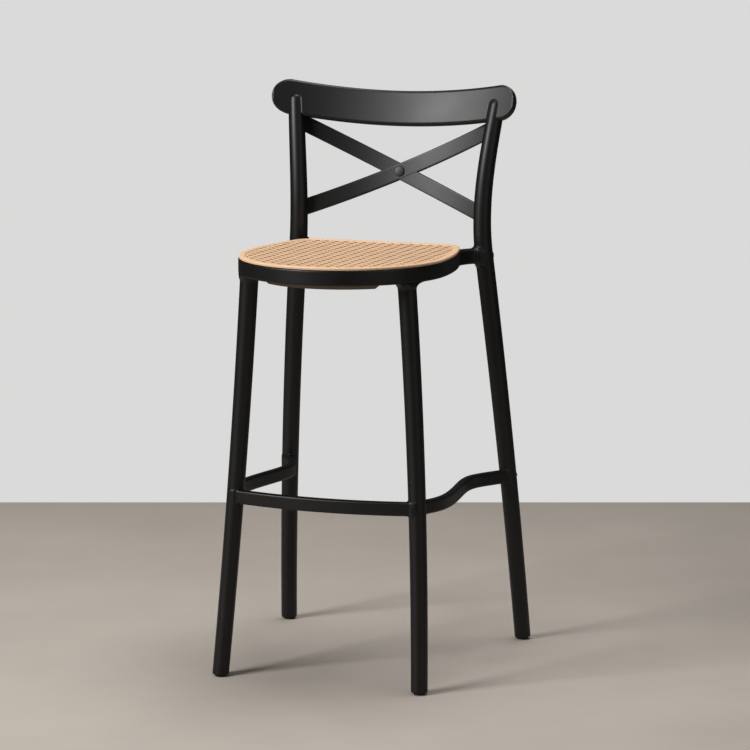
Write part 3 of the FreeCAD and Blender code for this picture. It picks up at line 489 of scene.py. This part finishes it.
def rounded_pattern(arc, wide, tall):
    """Signs, cosines and sines for a rounded rectangle: a point is (sx (a - r) + r cos, sy (b - r) + r sin),
    where corners turn the angle and sides move the sign from one corner to the next."""
    sx, sy, angle = [], [], []
    for k, (x, y) in enumerate([(1, 1), (-1, 1), (-1, -1), (1, -1)]):
        t = np.linspace(0, np.pi / 2, arc, endpoint=False) + k * np.pi / 2
        sx.append(np.full(arc, x))
        sy.append(np.full(arc, y))
        angle.append(t)
        count = wide if k % 2 == 0 else tall
        run = np.linspace(1, -1, count, endpoint=False)
        sx.append(x * run if k % 2 == 0 else np.full(count, x))
        sy.append(np.full(count, y) if k % 2 == 0 else y * run)
        angle.append(np.full(count, (k + 1) * np.pi / 2))
    angle = np.concatenate(angle)
    return np.concatenate(sx), np.concatenate(sy), np.cos(angle), np.sin(angle)


def bar(path, side, up, half_wide, half_tall, edge, pattern):
    """A rounded rectangle carried along a path: side and up are its directions at each point, and its
    half sizes and edge radius may change along the path. Also gives each point's outward direction."""
    sx, sy, cs, sn = (v[None] for v in pattern)
    a, b, r = (np.broadcast_to(v, len(path)).astype(float)[:, None] for v in (half_wide, half_tall, edge))
    across = (sx * (a - r) + r * cs)[..., None]
    rise = (sy * (b - r) + r * sn)[..., None]
    outward = cs[..., None] * side[:, None] + sn[..., None] * up[:, None]
    return path[:, None] + across * side[:, None] + rise * up[:, None], outward


def bezier(points, s):
    """Points of a Bezier curve: each control point times its Bernstein weight."""
    points = np.array(points, float)
    n = len(points) - 1
    weight = np.stack([math.comb(n, k) * s ** k * (1 - s) ** (n - k) for k in range(n + 1)], -1)
    return weight @ points


def level_bar(path, half_wide, half_tall, edge, pattern):
    """A bar that stays upright, as bar gives it: its side direction is level and square to the path."""
    run = np.gradient(path, axis=0)
    along = unit(np.stack([run[:, 0], run[:, 1], 0 * run[:, 0]], -1))
    side = np.stack([along[:, 1], -along[:, 0], 0 * along[:, 0]], -1)
    up = np.tile((0.0, 0.0, 1.0), (len(path), 1))
    return bar(path, side, up, half_wide, half_tall, edge, pattern)


def filleted(bar_and_outward, axis, radius, size):
    """Widens a bar, as bar gives it, where it meets a round leg: each point moves outwards by a quarter
    circle of the stated size, taken at the point's distance from the leg's wall."""
    grid, outward = bar_and_outward
    z = grid[..., 2]
    leg = axis(z)
    gap = np.hypot(np.abs(grid[..., 0]) - leg[..., 0], grid[..., 1] - leg[..., 1]) - radius(z)
    near = np.clip(size - gap, 0, size)
    return grid + outward * (size - np.sqrt(size ** 2 - near ** 2))[..., None], outward


ring_x, ring_z, ring_cos, ring_sin = rounded_pattern(arc=6, wide=10, tall=8)
ring_middle = (RING_TOP + RING_BOTTOM) / 2
ring_half = (RING_TOP - RING_BOTTOM) / 2
ring_inset = RING_WIDTH / 2 + ring_x * (RING_WIDTH / 2 - RING_EDGE_RADIUS) + RING_EDGE_RADIUS * ring_cos
ring_height = ring_middle + ring_z * (ring_half - RING_EDGE_RADIUS) + RING_EDGE_RADIUS * ring_sin
black_piece("seat_ring_shell", round_seat(ring_inset, ring_height), "seat_ring", round_rows=True)

arm_points = [(CORNER_X + SEAT_CORNER_RADIUS * ARM_START[0], CORNER_Y + ARM_START[1], ring_middle),
              (CORNER_X + SEAT_CORNER_RADIUS * ARM_WAIST, CORNER_Y, SEAT_JOINT),
              (CORNER_X + ARM_LEAD[0], CORNER_Y + ARM_LEAD[1], SEAT_JOINT), POST_SEAT + (SEAT_JOINT,)]
arm_path = bezier(arm_points, np.linspace(0, 1, 120))
arm_bar = level_bar(arm_path, ARM_THICKNESS / 2, ARM_HEIGHT / 2, ARM_EDGE_RADIUS,
                    rounded_pattern(arc=7, wide=6, tall=10))
arm_grid = filleted(arm_bar, rear_axis, rear_radius, JOINT_SWELL)[0]
black_piece("seat_arms_shell", arm_grid, sides=(1, -1))

# ---------------------------------------------------------------- seat panel
# A beige moulding screwed to the ring from below: a smooth rounded rim, a groove inside it, a slightly
# sunk field with a cane weave in relief, and a skirt that shows under the ring between the front legs.
# Shade is painted into the colours: in the weave's hollows, in a line along the corner at the rim, and over
# the whole skirt.
PANEL_INSET = 0.8
PANEL_TOP = 776.3
PANEL_UNDERSIDE = 771.6     # a hair above the ring
PANEL_RIM_WIDTH = 13.0
PANEL_DISH = 1.2
CANE_PITCH = 18.8
CANE_PAIR = 2.1             # from a pair's middle to each strand's middle
CANE_HALF = 1.3             # half width of a straight strand
CANE_SLANT_HALF = 1.5
CANE_ALONG = (0.80, 0.12)   # least height of a strand, and its gain where it passes over
CANE_ACROSS = (0.74, 0.16)
CANE_SLANTS = (0.97, 0.9)   # heights of the two slanting ways
CANE_HOLE = (9.6, 4.6)      # the oval hole's half length and half width, times the square root of two
CANE_HOLE_WALL = (0.8, 0.35)        # where the hole's wall starts and how wide it is, as shares
CANE_FLOOR = 0.5            # height of the ground between the strands
CANE_RELIEF = 0.45
CANE_BANDS = 3              # pieces that the field is made in, one behind another
CANE_ROWS = 176
CANE_COLUMNS = 526
CANE_FADE = 3.0             # width of the plain border where the weave dies away
FIELD_INSET = PANEL_RIM_WIDTH - 2.0
FIELD_SHY = 0.02            # how far the first and last rows stay inside the outline
FIELD_SAG = 0.8
FIELD_SAG_REACH = 60.0      # from the rim to where the field is at its lowest
GROOVE_WIDTH = 1.4          # width of the painted shade line in the corner between the field and the rim
GROOVE_START = 0.3          # how far under the rim it begins
RIM_OUTER_RADIUS = 2.4
RIM_INNER_RADIUS = 1.6
RIM_INNER_DEPTH = 1.7       # from the top down to the inner edge's centre
RIM_CROWN = ((6.0, 0.0), (9.0, -0.05))      # insets of the top, and heights from PANEL_TOP
RIM_FOOT_INSET = 1.2
RIM_FOOT_DEPTH = 3.0
RIM_TUCK = 2.0              # how far the inner wall's foot runs back under the rim
SKIRT_INSET = 36.15
SKIRT_THICKNESS = 3.0
SKIRT_EDGE = 0.5            # bevel of the lower edge
SKIRT_EDGE_SHARE = 0.02     # its height, as a share of the skirt's
SKIRT_LOW = 732.5
SKIRT_HIDDEN_LOW = 745.0    # its lower edge where the ring hides it
SKIRT_HALF_WIDTH = 104.0
SKIRT_PAINTED_SHADE = 0.2            # its brown, as a share of the beige: the beige darkened as painted shade under the ring
MIX_FACTOR, MIX_FIRST, MIX_SECOND, MIX_RESULT = 0, 6, 7, 2      # sockets of a Mix node set to colour
BEIGE = (0.64, 0.415, 0.25, 1)
# painted shade: the dark brown that the weave's hollows and the rim's corner are mixed towards
CANE_PAINTED_SHADE_COLOUR = (0.10, 0.045, 0.017, 1)


def inset_at(x, y):
    """How far a point lies inside the seat's outline: the least distance to the arc or line that rules
    there."""
    front = SEAT_RADIUS - np.hypot(x, y - SEAT_CENTRE_Y)
    side = SEAT_SIDE_RADIUS - np.hypot(np.abs(x) - (SEAT_RADIUS - SEAT_SIDE_RADIUS), y - SEAT_CENTRE_Y)
    corner = SEAT_CORNER_RADIUS - np.hypot(np.abs(x) - CORNER_X, y - CORNER_Y)
    flank = np.minimum(side, SEAT_BACK_Y - y)
    at_corner = (np.abs(x) > CORNER_X) & (y > CORNER_Y)
    return np.where(y < SEAT_CENTRE_Y, front, np.where(at_corner, np.minimum(corner, flank), flank))


def half_width(y, inset):
    """Half the seat's width at a depth y, for an outline moved in by inset."""
    front = np.sqrt(np.maximum((SEAT_RADIUS - inset) ** 2 - (y - SEAT_CENTRE_Y) ** 2, 0))
    wide = np.sqrt((SEAT_SIDE_RADIUS - inset) ** 2 - (y - SEAT_CENTRE_Y) ** 2)
    side = SEAT_RADIUS - SEAT_SIDE_RADIUS + wide
    corner = CORNER_X + np.sqrt(np.maximum((SEAT_CORNER_RADIUS - inset) ** 2 - (y - CORNER_Y) ** 2, 0))
    return np.where(y < SEAT_CENTRE_Y, front, np.where(y > CORNER_Y, np.minimum(corner, side), side))


def strand(distance, half):
    """A strand's rounded top: one at its middle, falling to nought at its edges along an ellipse: the
    square root of one minus the square of the distance over the half width."""
    return np.sqrt(np.clip(1 - (distance / half) ** 2, 0, 1))


def cane(x, y):
    """Cane weave, from nought in the holes to one on the strands: pairs of strands along and across at
    every pitch, slanting strands both ways half a pitch off, a flat ground between them, and in the middle
    of each cell an oval hole that runs along one diagonal. Straight strands rise and fall by a cosine."""
    def off(value, step, start=0.0):
        return np.abs((value - start + step / 2) % step - step / 2)
    wave_x = 0.5 + 0.5 * np.cos(2 * np.pi * x / CANE_PITCH)
    wave_y = 0.5 + 0.5 * np.cos(2 * np.pi * y / CANE_PITCH)
    along_height = CANE_ALONG[0] + CANE_ALONG[1] * wave_y
    across_height = CANE_ACROSS[0] + CANE_ACROSS[1] * (1 - wave_x)
    along = strand(np.abs(off(x, CANE_PITCH) - CANE_PAIR), CANE_HALF) * along_height
    across = strand(np.abs(off(y, CANE_PITCH) - CANE_PAIR), CANE_HALF) * across_height
    slant_step = CANE_PITCH / math.sqrt(2)
    slant_a = strand(off((x + y) / math.sqrt(2), slant_step, slant_step / 2), CANE_SLANT_HALF)
    slant_b = strand(off((x - y) / math.sqrt(2), slant_step, slant_step / 2), CANE_SLANT_HALF)
    slants = np.maximum(slant_a * CANE_SLANTS[0], slant_b * CANE_SLANTS[1])
    woven = np.maximum(np.maximum(along, across), slants)
    in_x = (x % CANE_PITCH) - CANE_PITCH / 2
    in_y = (y % CANE_PITCH) - CANE_PITCH / 2
    hole = np.hypot((in_x - in_y) / CANE_HOLE[0], (in_x + in_y) / CANE_HOLE[1])
    return np.maximum(woven, CANE_FLOOR) * np.clip((hole - CANE_HOLE_WALL[0]) / CANE_HOLE_WALL[1], 0, 1)


def cane_band(first, last):
    """Rows of the field between two depths: the sunk weave on top, and two level edges below that close
    each row. Also gives each point's tone, which is painted shade: nought in the holes and in a thin line
    along the corner at the rim, one on the strands and the edges."""
    rows = np.linspace(first, last, CANE_ROWS)
    x = half_width(rows, FIELD_INSET)[:, None] * np.linspace(-1, 1, CANE_COLUMNS)[None]
    y = np.broadcast_to(rows[:, None], x.shape)
    inside = inset_at(x, y) - PANEL_RIM_WIDTH
    hole = (1 - cane(x, y)) * np.clip(inside / CANE_FADE, 0, 1)
    sag = FIELD_SAG * np.clip(inside / FIELD_SAG_REACH, 0, 1)
    z = PANEL_TOP - PANEL_DISH - sag - CANE_RELIEF * hole
    under = np.full((CANE_ROWS, 1), PANEL_UNDERSIDE)
    right = np.stack([x[:, -1:], y[:, -1:], under], -1)
    left = np.stack([x[:, :1], y[:, :1], under], -1)
    # Painted shade: the tone is darkest in the holes and in a thin line along the corner at the rim.
    rim_corner_painted_shade = np.clip((inside + GROOVE_START) / GROOVE_WIDTH, 0, 1)
    tone = np.concatenate([(1 - hole) * rim_corner_painted_shade, np.ones((CANE_ROWS, 2))], axis=1)
    top = np.concatenate([np.stack([x, y, z], -1), right, left], axis=1)
    front, back = (end * (1, 1, 0) + (0, 0, PANEL_UNDERSIDE) for end in (top[:1], top[-1:]))
    return np.concatenate([front, top, back]), np.concatenate([tone[:1], tone, tone[-1:]])


def beige_plastic(name, woven, tone=1.0):
    """Beige moulded plastic: faint broad changes of tone and a fine grain. A tone below one darkens all of
    it, as painted shade. On the weave the hollows and the corner at the rim are darker, by painted shade
    that the piece's own weave attribute holds, and fine lines run through the strands."""
    material, tree, shader = node_material(name)
    colour = ramp(tree, noise(tree, scale=9.0), low=shade(BEIGE, 0.93 * tone),
                  high=shade(BEIGE, 1.04 * tone))
    if woven:
        # Painted shade: the weave attribute's tone mixes the hollows and the rim's corner towards a dark
        # brown.
        height = tree.nodes.new("ShaderNodeAttribute")
        height.attribute_name = "weave"
        mix = tree.nodes.new("ShaderNodeMix")
        mix.data_type = "RGBA"
        depth = ramp(tree, height.outputs["Fac"], low=0.0, high=1.0, start=0.05, end=0.8)
        tree.links.new(depth, mix.inputs[MIX_FACTOR])
        mix.inputs[MIX_FIRST].default_value = CANE_PAINTED_SHADE_COLOUR
        tree.links.new(colour, mix.inputs[MIX_SECOND])
        colour = mix.outputs[MIX_RESULT]
    tree.links.new(colour, shader.inputs["Base Color"])
    sheen = ramp(tree, noise(tree, scale=40.0), low=0.46, high=0.6)
    tree.links.new(sheen, shader.inputs["Roughness"])
    grain = bump(tree, shader, noise(tree, scale=900.0, detail=2.0), distance=0.0001, strength=0.25)
    if woven:
        bump(tree, shader, noise(tree, scale=260.0, detail=4.0), distance=0.0003, strength=0.2, under=grain)
    return material


beige = beige_plastic("beige_moulded_plastic", woven=False)
beige_cane = beige_plastic("beige_cane_painted_shade", woven=True)
field_front = SEAT_CENTRE_Y - SEAT_RADIUS + FIELD_INSET + FIELD_SHY
field_back = SEAT_BACK_Y - FIELD_INSET - FIELD_SHY
band_depths = np.linspace(field_front, field_back, CANE_BANDS + 1)
for band in range(CANE_BANDS):
    band_grid, band_painted_shade = cane_band(band_depths[band], band_depths[band + 1])
    band_name = "seat_panel_cane_" + str(band + 1)
    band_mesh = skin(band_name, band_grid)
    painted_shade_values = np.ones(len(band_mesh.vertices))
    painted_shade_values[:band_painted_shade.size] = band_painted_shade.ravel()
    # The weave attribute holds each point's tone of painted shade.
    painted_shade_layer = band_mesh.attributes.new("weave", "FLOAT", "POINT")
    painted_shade_layer.data.foreach_set("value", painted_shade_values.astype(np.float32))
    if band == 0:
        piece(band_name, band_mesh, beige_cane, "beige_plastic", "seat_panel")
    else:
        piece(band_name, band_mesh, beige_cane, "beige_plastic")

rim_turn = np.radians(np.linspace(0, 90, 9))
rim_outer = [(PANEL_INSET + RIM_OUTER_RADIUS - RIM_OUTER_RADIUS * math.cos(t),
              PANEL_TOP - RIM_OUTER_RADIUS + RIM_OUTER_RADIUS * math.sin(t)) for t in rim_turn]
rim_top = [(inset, PANEL_TOP + rise) for inset, rise in RIM_CROWN]
rim_inner = [(PANEL_RIM_WIDTH - RIM_INNER_RADIUS + RIM_INNER_RADIUS * math.sin(t),
              PANEL_TOP - RIM_INNER_DEPTH + RIM_INNER_RADIUS * math.cos(t)) for t in rim_turn]
rim_foot = [(PANEL_RIM_WIDTH, PANEL_TOP - RIM_FOOT_DEPTH), (PANEL_RIM_WIDTH - RIM_TUCK, PANEL_UNDERSIDE)]
rim_profile = np.array([(RIM_FOOT_INSET, PANEL_UNDERSIDE)] + rim_outer + rim_top + rim_inner + rim_foot)
rim_grid = round_seat(rim_profile[:, 0], rim_profile[:, 1])
piece("seat_panel_rim", skin("seat_panel_rim", rim_grid, round_rows=True), beige, "beige_plastic")

# The skirt is the beige darkened to a deep brown: painted shade under the ring.
skirt_painted_shade = beige_plastic("beige_plastic_painted_shade", woven=False, tone=SKIRT_PAINTED_SHADE)
skirt_base, skirt_inward = seat_outline()
skirt_x = np.abs(skirt_base[:, 0] + skirt_inward[:, 0] * SKIRT_INSET)
skirt_rise = np.clip(skirt_x - SKIRT_HALF_WIDTH, 0, SKIRT_HIDDEN_LOW - SKIRT_LOW)
skirt_bottom = np.where(skirt_base[:, 1] < SEAT_CENTRE_Y, SKIRT_LOW + skirt_rise, SKIRT_HIDDEN_LOW)
skirt_in = SKIRT_INSET + np.array([0.0, 0.0, SKIRT_EDGE, SKIRT_THICKNESS - SKIRT_EDGE, SKIRT_THICKNESS,
                                   SKIRT_THICKNESS])
skirt_up = np.array([1.0, SKIRT_EDGE_SHARE, 0.0, 0.0, SKIRT_EDGE_SHARE, 1.0])
skirt_plan = skirt_base[:, None] + skirt_inward[:, None] * skirt_in[None, :, None]
skirt_z = skirt_bottom[:, None] + (RING_TOP - skirt_bottom[:, None]) * skirt_up[None]
skirt_grid = np.concatenate([skirt_plan, skirt_z[..., None]], -1)
piece("seat_panel_skirt", skin("seat_panel_skirt", skirt_grid, round_rows=True), skirt_painted_shade,
      "beige_plastic")

# ---------------------------------------------------------------- footrest rails
# Flat rails with rounded edges, housed in the legs and held by hidden screws. The front one bows forwards;
# each side one swings out, comes in at its waist and runs out again to the rear leg.
RAIL_BOTTOM = 321.5
RAIL_HEIGHT = 25.0
RAIL_DEPTH = 15.0
RAIL_EDGE_RADIUS = 3.4
FRONT_RAIL_BOW = 25.0
FRONT_RAIL_LEAD = 6.0
SIDE_RAIL_DROP = 7.0
SIDE_RAIL_TOE = (3.2, -7.4)
SIDE_RAIL_SWEEP = ((31.6, 0.238), (41.7, 0.099), (-2.7, 0.874), (-28.6, 0.638))    # outwards, share back
SIDE_RAIL_START = 0.02      # share of the sweep that stays inside the front leg
RAIL_SWELL = 4.0
rail_middle = RAIL_BOTTOM + RAIL_HEIGHT / 2
rail_profile = rounded_pattern(arc=7, wide=6, tall=8)
front_at_rail = front_axis(np.array([rail_middle]))[0]
rear_at_rail = rear_axis(np.array([rail_middle - SIDE_RAIL_DROP]))[0]

lead_y = front_at_rail[1] - FRONT_RAIL_LEAD
front_rail_points = [(-front_at_rail[0], lead_y, rail_middle), (0, lead_y - 2 * FRONT_RAIL_BOW, rail_middle),
                     (front_at_rail[0], lead_y, rail_middle)]
front_rail_path = bezier(front_rail_points, np.linspace(0, 1, 160))
front_rail_bar = level_bar(front_rail_path, RAIL_DEPTH / 2, RAIL_HEIGHT / 2, RAIL_EDGE_RADIUS, rail_profile)
front_rail_grid = filleted(front_rail_bar, front_axis, front_radius, RAIL_SWELL)[0]
black_piece("front_footrest_rail_shell", front_rail_grid, "front_footrest_rail")

toe = rear_at_rail + (SIDE_RAIL_TOE[0], SIDE_RAIL_TOE[1], 0)
sweep = [(front_at_rail[0] + shift, front_at_rail[1] + (toe[1] - front_at_rail[1]) * share,
          rail_middle - SIDE_RAIL_DROP * share) for shift, share in SIDE_RAIL_SWEEP]
side_rail_points = [tuple(front_at_rail)] + sweep + [tuple(toe)]
side_rail_path = bezier(side_rail_points, np.linspace(SIDE_RAIL_START, 1, 200))
side_rail_bar = level_bar(side_rail_path, RAIL_DEPTH / 2, RAIL_HEIGHT / 2, RAIL_EDGE_RADIUS, rail_profile)
side_rail_bar = filleted(side_rail_bar, front_axis, front_radius, RAIL_SWELL)
side_rail_grid = filleted(side_rail_bar, rear_axis, rear_radius, RAIL_SWELL)[0]
black_pair("side_footrest_rail", side_rail_grid)

# ---------------------------------------------------------------- crest rail
# A bowed board with rounded edges and half-round ends, leaning back. The posts' tips are let into its
# front face, with a narrow shadow gap round each.
CREST_EDGE_RADIUS = 6.0
CREST_SHY = 0.2             # how far the board's upper and lower edges stay inside its nominal height
CREST_LEAST_HALF = 0.3      # half height at the very ends
CREST_EDGE_SHARE = 0.98     # largest edge radius, as a share of the board's half size
CREST_FINE_FROM = 170.0     # rows are closer together from here out, where the tips are let in
GAP_DEPTH = 1.2
GAP_WIDTH = 0.9
GAP_START = 0.4             # from the post's wall to the gap's middle
GAP_LOWEST = 960.0          # a height on the post below the board


def flat_bar(path, half_wide, half_tall, edge, pattern):
    """The grid of a bar whose side direction is y and whose up direction is z all along."""
    side = np.tile((0.0, 1.0, 0.0), (len(path), 1))
    up = np.tile((0.0, 0.0, 1.0), (len(path), 1))
    return bar(path, side, up, half_wide, half_tall, edge, pattern)[0]


crest_reach = CREST_LENGTH / 2
crest_straight = crest_reach - CREST_HEIGHT / 2
end_turn = np.radians(np.linspace(0.5, 89, 60))
end_x = crest_straight + (crest_reach - crest_straight) * np.sin(end_turn)
right_x = np.concatenate([np.linspace(0, CREST_FINE_FROM, 120, endpoint=False),
                          np.linspace(CREST_FINE_FROM, crest_straight, 50, endpoint=False), end_x])
crest_x = np.concatenate([-right_x[:0:-1], right_x])
from_middle = np.abs(crest_x)
beyond = np.clip(from_middle - crest_straight, 0, None)
crest_half = np.sqrt(np.maximum((CREST_HEIGHT / 2) ** 2 - beyond ** 2, 0)) - CREST_SHY
crest_half = np.maximum(crest_half, CREST_LEAST_HALF)
to_tip = np.clip(crest_reach - from_middle, 0, CREST_EDGE_RADIUS)
end_round = np.sqrt(CREST_EDGE_RADIUS ** 2 - (CREST_EDGE_RADIUS - to_tip) ** 2)
crest_thin = CREST_THICKNESS / 2 - (CREST_EDGE_RADIUS - end_round)
crest_path = np.stack([crest_x, crest_front(crest_x) + CREST_THICKNESS / 2,
                       crest_lift(np.minimum(from_middle, crest_straight))], -1)
crest_edge = np.minimum(CREST_EDGE_RADIUS, np.minimum(crest_half, crest_thin) * CREST_EDGE_SHARE)
crest_profile = rounded_pattern(arc=9, wide=6, tall=60)
crest_grid = flat_bar(crest_path, crest_thin, crest_half, crest_edge, crest_profile)
tip_axis = into_crest(rear_axis(np.linspace(GAP_LOWEST, POST_TIP, 60)))
post_x = np.interp(crest_grid[..., 2], tip_axis[:, 2], tip_axis[:, 0])
post_y = np.interp(crest_grid[..., 2], tip_axis[:, 2], tip_axis[:, 1])
above_tip = np.clip(crest_grid[..., 2] - tip_axis[-1, 2], 0, None)
beside_post = np.hypot(np.abs(crest_grid[..., 0]) - post_x, crest_grid[..., 1] - post_y)
from_post = np.hypot(beside_post, above_tip)
front_side = crest_grid[..., 1] < crest_front(crest_grid[..., 0]) + CREST_THICKNESS / 2
gap = GAP_DEPTH * np.exp(-((from_post - POST_TIP_RADIUS - GAP_START) / GAP_WIDTH) ** 2)
crest_grid[..., 1] += np.where(front_side, gap, 0)
black_piece("crest_rail_shell", out_of_crest(crest_grid), "crest_rail")

# ---------------------------------------------------------------- cross brace and button
# Two flat slats moulded as one bowed cross, pegged into the posts, with a domed button at the crossing.
BRACE_BOW = 36.0
BRACE_LEAN = math.radians(11.5)
BRACE_CENTRE = 899.0
BRACE_FRONT_Y = 201.0
BRACE_SLAT_WIDTH = 29.5
BRACE_THICKNESS = 9.0
BRACE_SLOPE = 0.4387
BRACE_EDGE_RADIUS = 1.5
BRACE_END = 2.0             # how far a slat runs past the posts' axes
BRACE_SINK = 0.12           # how far the second slat's faces stay inside the first's
BUTTON_RADIUS = 10.0
BUTTON_HEIGHT = 2.6
BUTTON_FOOT = ((-0.6, -0.3), (0.0, 0.2))    # steps from its radius, and heights, where it leaves the cross
BUTTON_EDGE_RADIUS = 1.4
BUTTON_EDGE_DEPTH = 1.9     # from the top down to the rounded edge's centre
BUTTON_DOME = ((6.0, -0.2), (3.0, 0.0), (0.5, 0.05))    # radii, and heights from BUTTON_HEIGHT
BUTTON_COLUMNS = 64
brace_half_run = float(rear_axis(np.array([BRACE_CENTRE]))[0, 0])


def out_of_brace(points):
    """Points of the cross in the stool's directions: turned back by its lean about the crossing."""
    y, z = points[..., 1], points[..., 2]
    return np.stack([points[..., 0], BRACE_FRONT_Y + y * math.cos(BRACE_LEAN) + z * math.sin(BRACE_LEAN),
                     BRACE_CENTRE - y * math.sin(BRACE_LEAN) + z * math.cos(BRACE_LEAN)], -1)


def slat(slope, sink):
    """One slat, with upright ends inside the posts: a rounded rectangle along a sloping line, each point
    set forward by a parabola of its own x. Its two faces are drawn in by sink, so that two slats that
    cross have no face in common."""
    x = np.linspace(-brace_half_run - BRACE_END, brace_half_run + BRACE_END, 220)
    path = np.stack([x, 0 * x, slope * x], -1)
    half_tall = BRACE_SLAT_WIDTH / 2 * math.sqrt(1 + slope ** 2)
    grid = flat_bar(path, BRACE_THICKNESS / 2 - sink, half_tall, BRACE_EDGE_RADIUS,
                    rounded_pattern(arc=5, wide=4, tall=12))
    grid[..., 1] += BRACE_THICKNESS / 2 - BRACE_BOW * (grid[..., 0] / brace_half_run) ** 2
    return out_of_brace(grid)


black_piece("cross_brace_slat_a", slat(BRACE_SLOPE, 0.0), "cross_brace")
black_piece("cross_brace_slat_b", slat(-BRACE_SLOPE, BRACE_SINK))

foot = np.array(BUTTON_FOOT)
dome = np.array(BUTTON_DOME)
edge_turn = np.radians(np.linspace(0, 90, 8))
edge_out = BUTTON_RADIUS - BUTTON_EDGE_RADIUS + BUTTON_EDGE_RADIUS * np.cos(edge_turn)
edge_rise = BUTTON_HEIGHT - BUTTON_EDGE_DEPTH + BUTTON_EDGE_RADIUS * np.sin(edge_turn)
button_out = np.concatenate([BUTTON_RADIUS + foot[:, 0], edge_out, dome[:, 0]])[:, None]
button_rise = np.concatenate([foot[:, 1], edge_rise, BUTTON_HEIGHT + dome[:, 1]])[:, None]
button_turn = np.linspace(0, 2 * np.pi, BUTTON_COLUMNS, endpoint=False)
button_grid = np.stack([button_out * np.cos(button_turn), -button_rise + 0 * button_turn,
                        button_out * np.sin(button_turn)], -1)
black_piece("cross_button_cap", out_of_brace(button_grid), "cross_button")

# ---------------------------------------------------------------- glides, caps and fasteners
# Hard glides plugged into the feet, round covers over the rear bolts, and plated screws, bolts and brass
# inserts inside the joints. These pieces keep the CAD's shapes and only take a finish.
BRASS = (0.72, 0.55, 0.26, 1)
ZINC = (0.62, 0.63, 0.65, 1)
ZINC_SCREW = (0.60, 0.61, 0.63, 1)


def plated(name, colour, rough):
    """Plated metal: fine turned lines and a slightly uneven sheen."""
    material, tree, shader = node_material(name)
    tone = ramp(tree, noise(tree, scale=300.0), low=shade(colour, 0.8), high=colour)
    tree.links.new(tone, shader.inputs["Base Color"])
    sheen = ramp(tree, noise(tree, scale=700.0), low=rough, high=rough + 0.15)
    tree.links.new(sheen, shader.inputs["Roughness"])
    shader.inputs["Metallic"].default_value = 1.0
    bump(tree, shader, noise(tree, scale=2500.0), distance=0.00005, strength=0.2)
    return material


finishes = {"glide": black_plastic("glide_hard_plastic", grain=0.3), "cap": black,
            "insert": plated("brass", BRASS, rough=0.25), "bolt": plated("zinc", ZINC, rough=0.3),
            "screw": plated("zinc_screw", ZINC_SCREW, rough=0.32)}
for name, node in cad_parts.items():
    for word, finish in finishes.items():
        if word in name:
            for slot in node.material_slots:
                slot.material = finish
            break
